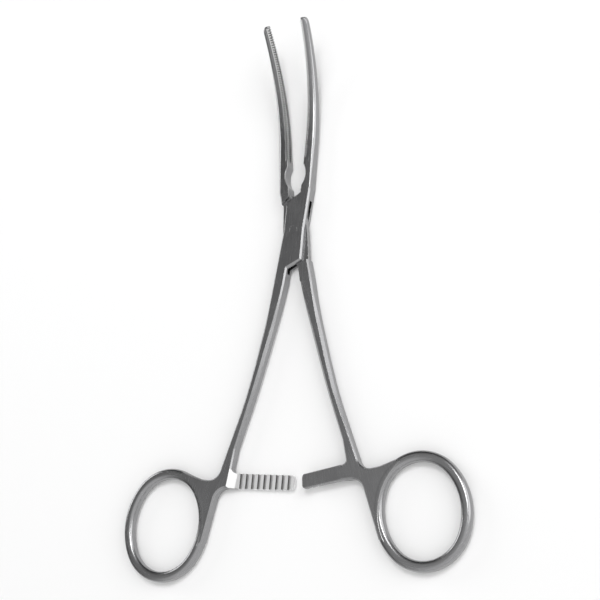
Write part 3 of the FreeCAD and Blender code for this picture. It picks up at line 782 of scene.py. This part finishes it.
def jaw_outline(half, face, width, height, corner, land=0.0, groove=0.0):
    """Section of a jaw as (out, up): its face, with a groove where it has one, and a rounded back."""
    outer = half.jaws.face_out + width
    top = height / 2
    edge = half.jaws.face_edge
    front = [(face + land, -top + edge), (face + land, top - edge), (face + land + edge, top)]
    if groove:
        wall = half.teeth.groove_width / 2
        corners = ((land, -wall), (groove, -wall), (groove, wall), (land, wall))
        front[1:1] = [(face + depth, up) for depth, up in corners]
    steps = 6
    turns = [math.radians(90 * step / steps) for step in range(steps + 1)]
    back = [(outer - corner * (1 - math.sin(turn)), top - corner * (1 - math.cos(turn))) for turn in turns]
    return front + back + [(out, -up) for out, up in reversed(back)] + [(face + land + edge, -top)]


def on_bend(half, run):
    """The frame on the jaw's middle line, a run past the start of the bend."""
    turn = run / half.jaws.bend_radius
    radius = half.jaws.bend_radius
    centre = Vector((0, half.jaws.bend_start + radius * math.sin(turn), radius * (1 - math.cos(turn))))
    return Matrix.Translation(centre) @ Matrix.Rotation(turn, 4, "X")


def jaw_section(half, place, outline):
    return [place @ Vector((half.side * out, 0, up)) for out, up in outline]


def hollow(jaws, reach):
    """Depth of the round hollow at the jaw's heel."""
    half_chord = (jaws.notch_upper - jaws.notch_lower) / 2
    radius = (half_chord ** 2 + jaws.notch_depth ** 2) / (2 * jaws.notch_depth)
    offset = reach - (jaws.notch_lower + jaws.notch_upper) / 2
    if abs(offset) >= half_chord:
        return 0.0
    return math.sqrt(radius ** 2 - offset ** 2) - (radius - jaws.notch_depth)


def nose_shares(jaws, run):
    """Shares of the jaw's width and height at a run past the start of the bend, which round off its nose."""
    start = jaws.bend_radius * jaws.bend_angle + jaws.tip_overrun - jaws.nose_length
    portion = min(max(0.0, run - start) / jaws.nose_length, 1.0)
    swell = math.sqrt(1 - portion ** 2)
    return mixed(jaws.nose_width, 1.0, swell), mixed(jaws.nose_height, 1.0, swell)


def tooth_counts(half):
    """How many teeth stand on the straight part of the jaw's face and on its bent part."""
    jaws, teeth = half.jaws, half.teeth
    face_length = jaws.bend_radius * jaws.bend_angle + jaws.tip_overrun - jaws.nose_length / 2
    return int((jaws.bend_start - teeth.first_reach) / teeth.pitch), int(face_length / teeth.pitch)


def jaw(half):
    """The jaw: a straight heel with its hollow, an even bend up to the tip, and a rounded nose."""
    jaws, teeth = half.jaws, half.teeth
    bend_length = jaws.bend_radius * jaws.bend_angle
    straight = jaws.bend_start - jaws.root_reach
    groove = teeth.groove_depth if half.kind == "tongue" else 0.0
    straight_teeth, bent_teeth = tooth_counts(half)

    def straight_section(reach, depth=0.0, groove=0.0):
        portion = (reach - jaws.root_reach) / straight
        outline = jaw_outline(half, jaws.face_out + hollow(jaws, reach),
                              mixed(jaws.root_width, jaws.width_base, portion),
                              mixed(2 * half.top, jaws.height_base, portion),
                              mixed(half.lock.edge_bevel, jaws.round_base, portion), depth, groove)
        return jaw_section(half, Matrix.Translation((0, reach, 0)), outline)

    def bent_section(run, depth=0.0, groove=0.0):
        portion = min(run / bend_length, 1.0)
        width_share, height_share = nose_shares(jaws, run)
        outline = jaw_outline(half, jaws.face_out,
                              mixed(jaws.width_base, jaws.width_tip, portion) * width_share,
                              mixed(jaws.height_base, jaws.height_tip, portion) * height_share,
                              mixed(jaws.round_base, jaws.round_tip, portion) * width_share, depth, groove)
        return jaw_section(half, on_bend(half, run), outline)

    def stations(start, stop, steps):
        return [mixed(start, stop, step / steps) for step in range(steps + 1)]

    heel_steps, straight_steps, bend_steps, nose_steps = 40, 6, 100, 8
    first = jaws.bend_start - teeth.pitch * (straight_teeth - 0.5)
    toothed = teeth.pitch * (bent_teeth + 0.5)
    tip = bend_length + jaws.tip_overrun
    nose = [toothed + (tip - toothed) * math.sin(math.pi / 2 * portion)
            for portion in stations(0.0, 1.0, nose_steps)]
    return [
        skin([straight_section(reach) for reach in stations(jaws.root_reach, first, heel_steps)]),
        skin([straight_section(reach, teeth.depth, groove)
              for reach in stations(first, jaws.bend_start, straight_steps)]),
        skin([bent_section(run, teeth.depth, groove) for run in stations(0.0, toothed, bend_steps)]),
        skin([bent_section(run) for run in nose]),
    ]


def tooth_rows(half):
    """The fine teeth across the jaw's face, in rows that follow its bend."""
    jaws, teeth = half.jaws, half.teeth
    outer = jaws.height_base / 2
    inner = teeth.groove_width / 2
    shells = tooth_row(half, jaws.face_out, inner, outer) + tooth_row(half, jaws.face_out, -outer, -inner)
    if half.kind == "box":
        ridge = teeth.ridge_width / 2
        shells += tooth_row(half, jaws.face_out - teeth.ridge_height, -ridge, ridge)
    return shells


def tooth_row(half, crest, low, high):
    """A row of teeth between two heights: straight near the heel, then bent, narrowing with the jaw."""
    jaws, teeth = half.jaws, half.teeth
    bottom = crest + teeth.depth
    root = bottom + teeth.depth / 4
    land = (teeth.pitch - teeth.mouth) / 2
    profile = [(land, crest), (teeth.pitch / 2, bottom), (teeth.pitch / 2, root),
               (-teeth.pitch / 2, root), (-teeth.pitch / 2, bottom), (-land, crest)]

    def tooth_at(reach):
        tooth = skin([[(half.side * out, reach + along, height) for along, out in profile]
                      for height in (low, high)])
        # Painted shade on the flanks, down into the gaps; painted highlight on the crest and on the tooth's
        # two ends.
        tooth.finishes = [PAINTED_SHADE_FLANK] * (len(profile) - 1) + [PAINTED_HIGHLIGHT_CREST] * 3
        return tooth

    straight_teeth, bent_teeth = tooth_counts(half)
    turn = teeth.pitch / jaws.bend_radius
    end_scale, near = 1.0, 0.0
    if low + high != 0.0:
        near, far = sorted((abs(low), abs(high)))
        end_height = mixed(jaws.height_base, jaws.height_tip, bent_teeth * turn / jaws.bend_angle) / 2
        end_scale = (end_height - near) / (far - near)
    return [
        row_of_copies(tooth_at(jaws.bend_start), straight_teeth, shift=(0.0, -teeth.pitch, 0.0)),
        row_of_copies(tooth_at(jaws.bend_start + teeth.pitch), bent_teeth, turn,
                      (0.0, jaws.bend_start, jaws.bend_radius), end_scale=end_scale,
                      centre=math.copysign(near, low + high)),
    ]


def shank(half):
    """The shank, a slender lever that bows outwards and thins towards the web."""
    sizes = half.shanks
    lock, handles = half.lock, half.handles
    places = [sizes.root_reach, sizes.neck_reach, sizes.upper_reach, sizes.lower_reach, sizes.end_reach]
    outs = [sizes.root_inner + sizes.root_width / 2, sizes.neck_out, sizes.upper_out, sizes.lower_out,
            sizes.end_out]
    widths = [sizes.root_width, sizes.neck_width, sizes.upper_width, sizes.lower_width, sizes.end_width]
    thicknesses = [2 * half.top, sizes.neck_thickness, sizes.thickness, sizes.thickness,
                   handles.web_thickness]
    bevels = [lock.edge_bevel, lock.edge_bevel, sizes.bevel, sizes.bevel, handles.web_bevel]
    steps = 64
    sections = []
    for step in range(steps + 1):
        reach = mixed(places[0], places[-1], step / steps)
        out, width, thickness, bevel = (
            smooth_value(list(zip(places, values)), reach) for values in (outs, widths, thicknesses, bevels))
        side, top = width / 2, min(thickness / 2, half.top)
        across = [(-side, bevel - top), (-side, top - bevel), (bevel - side, top), (side - bevel, top),
                  (side, top - bevel), (side, bevel - top), (side - bevel, -top), (bevel - side, -top)]
        sections.append([half.shank(out + shift, reach).to_3d() + Vector((0, 0, up)) for shift, up in across])
    return skin(sections).brushed(half.shank_direction())


def ring_frame(half, across, along):
    """A point of the ring's plane, from its middle along its short and its long axis."""
    handles = half.handles
    tilt = half.own("ring_tilt")
    out = handles.ring_out + across * math.cos(tilt) - along * math.sin(tilt)
    reach = handles.ring_reach - across * math.sin(tilt) - along * math.cos(tilt)
    return half.shank(out, reach)


def ring_point(half, degrees, growth=0.0):
    """A point on the ring's middle line, degrees from its short axis, moved out by growth."""
    turn = math.radians(degrees)
    return ring_frame(half, (half.own("ring_half_width") + growth) * math.cos(turn),
                      (half.own("ring_half_length") + growth) * math.sin(turn))


def ring(half):
    """The oval finger ring: a rounded band swept along an outline of four arcs that meet smoothly."""
    wide, long = half.own("ring_half_width"), half.own("ring_half_length")
    excess = long - wide
    end_radius = long - OVAL_END * excess
    joint = Vector((OVAL_SIDE, OVAL_END)) * (end_radius / OVAL_SPAN) + Vector((0, OVAL_END * excess))
    corners = [joint, Vector((-joint.x, joint.y)), -joint, Vector((joint.x, -joint.y))]
    middles = [(0, long), (-wide, 0), (0, -long), (wide, 0)]
    arc_steps, corner_steps = 32, 8
    path = []
    for start, middle, stop in zip(corners, middles, corners[1:] + corners[:1]):
        path += arc_through(start, middle, stop, arc_steps)[:-1]
    places = [ring_frame(half, point.x, point.y).to_3d() for point in path]
    mesh = bpy.data.meshes.new("ring_path")
    mesh.from_pydata(places, [(number, (number + 1) % len(places)) for number in range(len(places))], [])
    band = grown(mesh, kept("swept_band", band_tree), {
        "Thickness": 2 * half.handles.wire_radius, "Rounding": half.handles.wire_round,
        "Corner Steps": corner_steps, "Material": steel_material(STEEL)})
    middle = ring_frame(half, 0, 0)
    web_side = (ring_point(half, WEB_SIDE) - middle).angle_signed(Vector((1, 0)))
    radius = (wide + long) / 2
    band.finished(STEEL)
    band.grain = []
    for point in band.points:
        arm = point.to_2d() - middle
        turn = (math.atan2(arm.y, arm.x) - web_side) % (2 * math.pi)
        band.grain.append((arm.length, radius * min(turn, 2 * math.pi - turn), point.z))
    return band


def web(half):
    """The flat web in which shank, ratchet bar and ring run together."""
    shanks, handles = half.shanks, half.handles
    end = shanks.end_reach
    outer = shanks.end_out + shanks.end_width / 2
    inner = shanks.end_out - shanks.end_width / 2
    bar_top = handles.bar_reach - handles.bar_width / 2
    bar_bottom = handles.bar_reach + handles.bar_width / 2
    root = handles.bar_root_out
    bar_end = root - handles.bar_fillet
    outside = handles.wire_radius - handles.web_bevel / 4

    def beside(out, reach, shift):
        return half.shank(out + shift[0] * MM, reach + shift[1] * MM)

    points = [
        half.shank(outer, end),
        *[beside(outer, end, shift) for shift in WEB_SHOULDER],
        ring_point(half, WEB_OUTER_FLANK, outside),
        ring_point(half, WEB_OUTER_TIP),
        ring_point(half, WEB_INNER_TIP),
        ring_point(half, WEB_INNER_FLANK, outside),
        *[beside(root, bar_bottom, shift) for shift in WEB_CROTCH],
        half.shank(bar_end, bar_bottom),
        half.shank(bar_end, bar_top),
        beside(inner, bar_top, WEB_NECK),
        half.shank(inner, end),
    ]
    arcs = {
        1: beside(outer, end, WEB_SHOULDER_MIDDLE),
        5: ring_point(half, (WEB_OUTER_TIP + WEB_INNER_TIP) / 2, -handles.wire_radius / 2),
        8: beside(root, bar_bottom, WEB_CROTCH_MIDDLE),
        11: beside(inner, bar_top, WEB_NECK_MIDDLE),
    }
    outline = outline_with_arcs(points, arcs)

    def plain(middle):
        return same(middle.y, -end) or same(middle.x, half.shank(bar_end, 0).x)

    top = handles.web_thickness / 2
    solid = prism(outline, -top, top, handles.web_bevel, handles.web_bevel, plain)
    return cut(solid, [ground_pocket(half)]).brushed(half.shank_direction())


def ground_pocket(half):
    """What is ground away, down a slope, where the bar's toothed face runs into the web."""
    handles = half.handles
    way = 1 if half.kind == "box" else -1
    level = -way * handles.bar_gap / 2
    clear = way * handles.web_thickness
    climb = handles.ground_slope * abs(clear - level) / (handles.web_thickness / 2)
    far = -handles.web_thickness
    above = handles.bar_reach - 3 * handles.bar_width
    below = handles.bar_reach + 2 * handles.bar_width
    low_wall = handles.bar_root_out - handles.bar_fillet / 2
    lean = handles.ground_lean

    def layer(shift, height):
        corners = [half.shank(far, above), half.shank(far, below),
                   half.shank(low_wall + shift + lean * (below - handles.bar_reach), below),
                   half.shank(low_wall + shift + lean * (above - handles.bar_reach), above)]
        return [(corner.x, corner.y, height) for corner in corners]

    return skin([layer(0.0, level), layer(climb, clear)]).finished(GROUND if half.kind == "box" else STEEL)


def ratchet_bar(half):
    """The ratchet bar of half the web's thickness, with its saw teeth towards the other bar."""
    handles, teeth = half.handles, half.teeth
    upper = half.kind == "tongue"
    way = 1 if upper else -1
    top = handles.bar_reach - handles.bar_width / 2
    bottom = handles.bar_reach + handles.bar_width / 2
    corner = handles.bar_corner
    end = -half.own("bar_overrun")
    end_top = top + half.own("bar_drop")
    end_bottom = bottom + half.own("bar_drop") - handles.bar_taper
    rise = corner * (1 - math.sqrt(0.5))
    root = handles.bar_root_out - handles.bar_fillet
    outline = outline_with_arcs([
        half.shank(root, top), half.shank(root, bottom),
        half.shank(end + corner, end_bottom), half.shank(end, end_bottom - corner),
        half.shank(end, end_top + corner), half.shank(end + corner, end_top),
    ], {2: half.shank(end + rise, end_bottom - rise), 4: half.shank(end + rise, end_top + rise)})
    crest = handles.bar_gap / 2
    outer = handles.web_thickness / 2
    bevel = handles.bar_bevel

    def plain(middle):
        return same(middle.x, half.shank(root, 0).x)

    if upper:
        body = prism(outline, crest, outer, 0.0, bevel, plain)
    else:
        body = prism(outline, -outer, -crest, bevel, 0.0, plain)
    count = half.own_teeth()
    first = teeth.tongue_saw_out + teeth.saw_pitch * (count - 1) if upper else teeth.box_saw_out
    spare, beyond = 0.1 * MM, 2 * MM
    ramp_end = first - teeth.saw_pitch * teeth.saw_ramp
    slope = teeth.saw_depth / (first - ramp_end)
    profile = [(first, crest + teeth.saw_depth), (first, crest - spare),
               (ramp_end - spare / slope, crest - spare)]
    cutter = skin([[(half.shank(out, 0).x, -reach, way * height) for out, height in profile]
                   for reach in (top - beyond, bottom + beyond)])
    # The steep face of each saw tooth gets the painted shade of the flanks; the ramp is ground.
    cutter.finishes = [PAINTED_SHADE_FLANK] + [GROUND] * (len(cutter.faces) - 1)
    row = row_of_copies(cutter, count, shift=(half.side * teeth.saw_pitch, 0.0, 0.0))
    return cut(body.finished(STEEL if upper else GROUND), [row]).brushed((0, 1))


def shader_group(name, inputs, outputs):
    """An empty shader node group with its inputs, outputs and two ends."""
    group = bpy.data.node_groups.new(name, "ShaderNodeTree")
    for label in outputs:
        group.interface.new_socket(label, in_out="OUTPUT", socket_type="NodeSocketFloat")
    for label, value in inputs.items():
        group.interface.new_socket(label, in_out="INPUT", socket_type="NodeSocketFloat").default_value = value
    return group, group.nodes.new("NodeGroupInput"), group.nodes.new("NodeGroupOutput")


def brushing_group():
    """Fine lines along the brushing direction, and slow clouds of tone over the whole surface."""
    group, given, made = shader_group("brushing", {"Lines per Metre": 8000.0}, ("Lines", "Clouds"))
    place = placed(group, "ShaderNodeAttribute", {}, attribute_name=GRAIN)
    stretched = placed(group, "ShaderNodeVectorMath", {
        0: place.outputs["Vector"], 1: (1.0, LINE_STRETCH, 1.0)}, operation="MULTIPLY")
    lines = placed(group, "ShaderNodeTexNoise", {
        "Vector": stretched, "Scale": given.outputs["Lines per Metre"], "Detail": 3.0})
    where = placed(group, "ShaderNodeTexCoord", {})
    clouds = placed(group, "ShaderNodeTexNoise", {
        "Vector": where.outputs["Object"], "Scale": CLOUDS_PER_METRE, "Detail": 4.0})
    wired(group, made, {"Lines": lines, "Clouds": clouds})
    return group


def edge_group():
    """How near a point is to an edge, from the turn between its own and the blended surface direction."""
    group, given, made = shader_group("edge_polish", {"Width": 0.0003}, ("Mask",))
    blended = placed(group, "ShaderNodeBevel", {"Radius": given.outputs["Width"]}, samples=BEVEL_SAMPLES)
    own = placed(group, "ShaderNodeNewGeometry", {})
    agreement = placed(group, "ShaderNodeVectorMath", {0: blended, 1: own.outputs["Normal"]},
                       operation="DOT_PRODUCT")
    mask = placed(group, "ShaderNodeMapRange", {
        "Value": agreement.outputs["Value"], "From Min": 1.0, "From Max": EDGE_AGREEMENT})
    wired(group, made, {"Mask": mask})
    return group


def steel_material(name):
    """Satin steel with fine brush lines, slow clouds of tone and a painted highlight along its edges."""
    if name in bpy.data.materials:
        return bpy.data.materials[name]
    settings = bpy.context.scene.vascular_clamp.finish
    # The crests' light colour is a painted highlight, and the flanks' near black is painted shade.
    steel = {GROUND: settings.ground, PAINTED_HIGHLIGHT_CREST: settings.crest, PAINTED_SHADE_FLANK: settings.painted_flank_shade}.get(name, settings.steel)
    softness = settings.edge_softness if name == STEEL else settings.tooth_softness
    roughness = settings.ground_roughness if name == GROUND else settings.roughness
    material = bpy.data.materials.new(name)
    material.use_nodes = True
    tree = material.node_tree
    brushing = placed(tree, "ShaderNodeGroup", {"Lines per Metre": 1.0 / settings.line_spacing},
                      node_tree=kept("brushing", brushing_group))
    edges = placed(tree, "ShaderNodeGroup", {"Width": softness}, node_tree=kept("edge_polish", edge_group))

    def ranged(source, low, high):
        return placed(tree, "ShaderNodeMapRange", {
            "Value": brushing.outputs[source], "From Min": NOISE_RANGE[0], "From Max": NOISE_RANGE[1],
            "To Min": low, "To Max": high})

    def summed(lines, clouds):
        """What the brush lines and the clouds come to, each between its own two values."""
        return placed(tree, "ShaderNodeMath", {0: ranged("Lines", *lines), 1: ranged("Clouds", *clouds)})

    def blend(portion, first, second):
        return placed(tree, "ShaderNodeMix", {0: portion, 6: first, 7: second}, data_type="RGBA").outputs[2]

    darker = (*[(1 - TONE_CHANGE) * value for value in steel], 1.0)
    lighter = (*[(1 + TONE_CHANGE) * value for value in steel], 1.0)
    tone = blend(summed(LINE_TONES, CLOUD_TONES), darker, lighter)
    # Edges are painted lighter as a highlight, apart from on the shaded flanks.
    edge_highlight = (*(steel if name == PAINTED_SHADE_FLANK else settings.painted_edge_highlight), 1.0)
    blended = placed(tree, "ShaderNodeBevel", {"Radius": softness}, samples=BEVEL_SAMPLES)
    relief = placed(tree, "ShaderNodeBump", {
        "Strength": RELIEF_STRENGTH, "Distance": RELIEF_DEPTH, "Height": brushing.outputs["Lines"],
        "Normal": blended})
    wired(tree, tree.nodes["Principled BSDF"], {
        "Metallic": 1.0, "Base Color": blend(edges.outputs["Mask"], tone, edge_highlight), "Normal": relief,
        "Roughness": summed((roughness - LINE_ROUGHNESS, roughness + LINE_ROUGHNESS),
                            (-CLOUD_ROUGHNESS, CLOUD_ROUGHNESS))})
    return material


def add_piece(name, shells, placement, finish, body, node):
    """A finished piece in the clamp's own frame, which rides on its body in place of its frame node."""
    mesh = mesh_from_shells(name, shells, placement)
    mesh.materials[0] = steel_material(finish)
    piece = bpy.data.objects.new(name, mesh)
    bpy.context.scene.collection.objects.link(piece)
    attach(piece, body)
    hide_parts(node)
    return piece


def add_half(half, middle, body):
    shells = middle(half) + jaw(half) + tooth_rows(half)
    shells += [shank(half), web(half), ratchet_bar(half), ring(half)]
    name = f"forged_{half.kind}_half"
    return add_piece(name, shells, half.placement(), STEEL, body, f"{half.kind}_half")


class CLAMP_OT_box_half(bpy.types.Operator):
    """Add the half with the box, whose jaw lies on +X"""

    bl_idname = "vascular_clamp.box_half"
    bl_label = "Add box half"

    def execute(self, context):
        add_half(Half("box", 1, context.scene.vascular_clamp), box, "box_side")
        return {"FINISHED"}


class CLAMP_OT_tongue_half(bpy.types.Operator):
    """Add the half with the tongue, whose jaw lies on -X"""

    bl_idname = "vascular_clamp.tongue_half"
    bl_label = "Add tongue half"

    def execute(self, context):
        add_half(Half("tongue", -1, context.scene.vascular_clamp), tongue, "tongue_side")
        return {"FINISHED"}


class CLAMP_OT_rivet(bpy.types.Operator):
    """Add the rivet, ground flush with both faces of the box"""

    bl_idname = "vascular_clamp.rivet"
    bl_label = "Add rivet"

    def execute(self, context):
        pin = prism(disc_outline(PIN_HIGH.x), PIN_LOW.z, PIN_HIGH.z)
        add_piece("flush_rivet", [pin], Matrix(), RIVET_STEEL, "box_side", "pivot_pin")
        return {"FINISHED"}


def lathe(name, profile, steps=128):
    """An open surface turned about Z from a profile of (radius, height), which starts on the axis."""
    points = [(0.0, 0.0, profile[0][1])]
    faces = []
    for radius, height in profile[1:]:
        turns = [2 * math.pi * step / steps for step in range(steps)]
        points += [(radius * math.cos(turn), radius * math.sin(turn), height) for turn in turns]
    for step in range(steps):
        beside = (step + 1) % steps
        faces.append((0, 1 + step, 1 + beside))
        for row in range(len(profile) - 2):
            first = 1 + row * steps
            faces.append((first + step, first + steps + step, first + steps + beside, first + beside))
    mesh = bpy.data.meshes.new(name)
    mesh.from_pydata(points, [], faces)
    mesh.polygons.foreach_set("use_smooth", [True] * len(mesh.polygons))
    return mesh


def stage_material():
    """Plain white, which the camera and polished surfaces see as white further out, away from the clamp."""
    material = bpy.data.materials.new("pale_stage")
    material.use_nodes = True
    tree = material.node_tree
    shader = wired(tree, tree.nodes["Principled BSDF"], {
        "Base Color": STAGE_COLOUR, "Roughness": 1.0, "Specular IOR Level": 0.0})
    rays = placed(tree, "ShaderNodeLightPath", {}).outputs
    seen = placed(tree, "ShaderNodeMath", {0: rays["Is Camera Ray"], 1: rays["Is Glossy Ray"]},
                  operation="MAXIMUM")
    seen = placed(tree, "ShaderNodeMath", {0: seen, 1: rays["Is Transmission Ray"]}, operation="MAXIMUM")
    place = placed(tree, "ShaderNodeTexCoord", {})
    distance = placed(tree, "ShaderNodeVectorMath", {0: place.outputs["Object"]}, operation="LENGTH")
    far = placed(tree, "ShaderNodeMapRange", {
        "Value": distance.outputs["Value"], "From Min": GLOW_START, "From Max": GLOW_FULL})
    glow = placed(tree, "ShaderNodeMath", {0: seen, 1: far}, operation="MULTIPLY")
    white = placed(tree, "ShaderNodeEmission", {})
    blend = placed(tree, "ShaderNodeMixShader", {0: glow, 1: shader, 2: white})
    wired(tree, tree.nodes["Material Output"], {"Surface": blend})
    return material


def add_lamp(name, place, size, watts):
    """A soft square lamp that shines on the clamp."""
    lamp = bpy.data.lights.new(name, "AREA")
    lamp.size = size
    lamp.energy = watts
    stand = bpy.data.objects.new(name, lamp)
    stand.location = place
    stand.rotation_euler = (Vector(place) - Vector(LAMP_TARGET)).to_track_quat("Z", "Y").to_euler()
    bpy.context.scene.collection.objects.link(stand)


class CLAMP_OT_stage(bpy.types.Operator):
    """Add the pale stage, the lamps, the room and the camera"""

    bl_idname = "vascular_clamp.stage"
    bl_label = "Add stage"

    def execute(self, context):
        settings = context.scene.vascular_clamp.stage
        self.add_floor()
        for name, (place, size, watts) in LAMPS.items():
            add_lamp(name, place, size, getattr(settings, watts))
        self.add_room(context, settings)
        self.add_camera(context, settings)
        context.scene.view_settings.view_transform = "Standard"
        return {"FINISHED"}

    def add_floor(self):
        floor = lathe("stage", [(radius, -STAGE_DROP) for radius in STAGE_RADII])
        stage = bpy.data.objects.new("stage", floor)
        stage.data.materials.append(stage_material())
        bpy.context.scene.collection.objects.link(stage)

    def add_room(self, context, settings):
        """A plain room that is bright on the window's side and dim on the other."""
        world = bpy.data.worlds.new("room")
        world.use_nodes = True
        tree = world.node_tree
        direction = placed(tree, "ShaderNodeTexCoord", {})
        towards = placed(tree, "ShaderNodeVectorMath", {
            0: direction.outputs["Generated"], 1: Vector(WINDOW_SIDE).normalized()}, operation="DOT_PRODUCT")
        tones = placed(tree, "ShaderNodeMapRange", {
            "Value": towards.outputs["Value"], "From Min": WINDOW_REACH[0], "From Max": WINDOW_REACH[1],
            "To Min": settings.dim_side, "To Max": settings.window_side}, interpolation_type="SMOOTHSTEP")
        wired(tree, tree.nodes["Background"], {"Strength": tones, "Color": (1.0, 1.0, 1.0, 1.0)})
        context.scene.world = world

    def add_camera(self, context, settings):
        back = Vector((math.sin(settings.yaw) * math.cos(settings.pitch), -math.sin(settings.pitch),
                       math.cos(settings.yaw) * math.cos(settings.pitch)))
        level_up = (Vector((0, 1, 0)) - back * back.y).normalized()
        level_right = level_up.cross(back)
        right = level_right * math.cos(settings.roll) + level_up * math.sin(settings.roll)
        up = level_up * math.cos(settings.roll) - level_right * math.sin(settings.roll)
        camera = bpy.data.cameras.new("camera")
        camera.lens = settings.lens
        camera.sensor_width = SENSOR_WIDTH
        camera.clip_start = CLIP_START
        stand = bpy.data.objects.new("camera", camera)
        turned = Matrix((right, up, back)).transposed().to_4x4()
        target = Vector((settings.target_x, settings.target_y, PIVOT.z))
        stand.matrix_world = Matrix.Translation(target + back * settings.distance) @ turned
        context.scene.collection.objects.link(stand)
        context.scene.camera = stand


class CLAMP_PT_panel(bpy.types.Panel):
    """The clamp's pieces and its stage"""

    bl_idname = "CLAMP_PT_panel"
    bl_label = "Vascular clamp"
    bl_space_type = "VIEW_3D"
    bl_region_type = "UI"
    bl_category = "Clamp"

    def draw(self, context):
        for operator in OPERATORS:
            self.layout.operator(operator.bl_idname)


OPERATORS = (CLAMP_OT_box_half, CLAMP_OT_tongue_half, CLAMP_OT_rivet, CLAMP_OT_stage)
SETTINGS = (BoxLockSizes, JawSizes, ToothSizes, ShankSizes, HandleSizes, FinishSettings, StageSettings,
            ClampSettings)
CLASSES = SETTINGS + OPERATORS + (CLAMP_PT_panel,)


def register():
    for item in CLASSES:
        bpy.utils.register_class(item)
    bpy.types.Scene.vascular_clamp = PointerProperty(type=ClampSettings)


def unregister():
    del bpy.types.Scene.vascular_clamp
    for item in reversed(CLASSES):
        bpy.utils.unregister_class(item)


def main():
    register()
    bpy.ops.vascular_clamp.box_half()
    bpy.ops.vascular_clamp.tongue_half()
    bpy.ops.vascular_clamp.rivet()
    bpy.ops.vascular_clamp.stage()


if __name__ == "__main__":
    main()
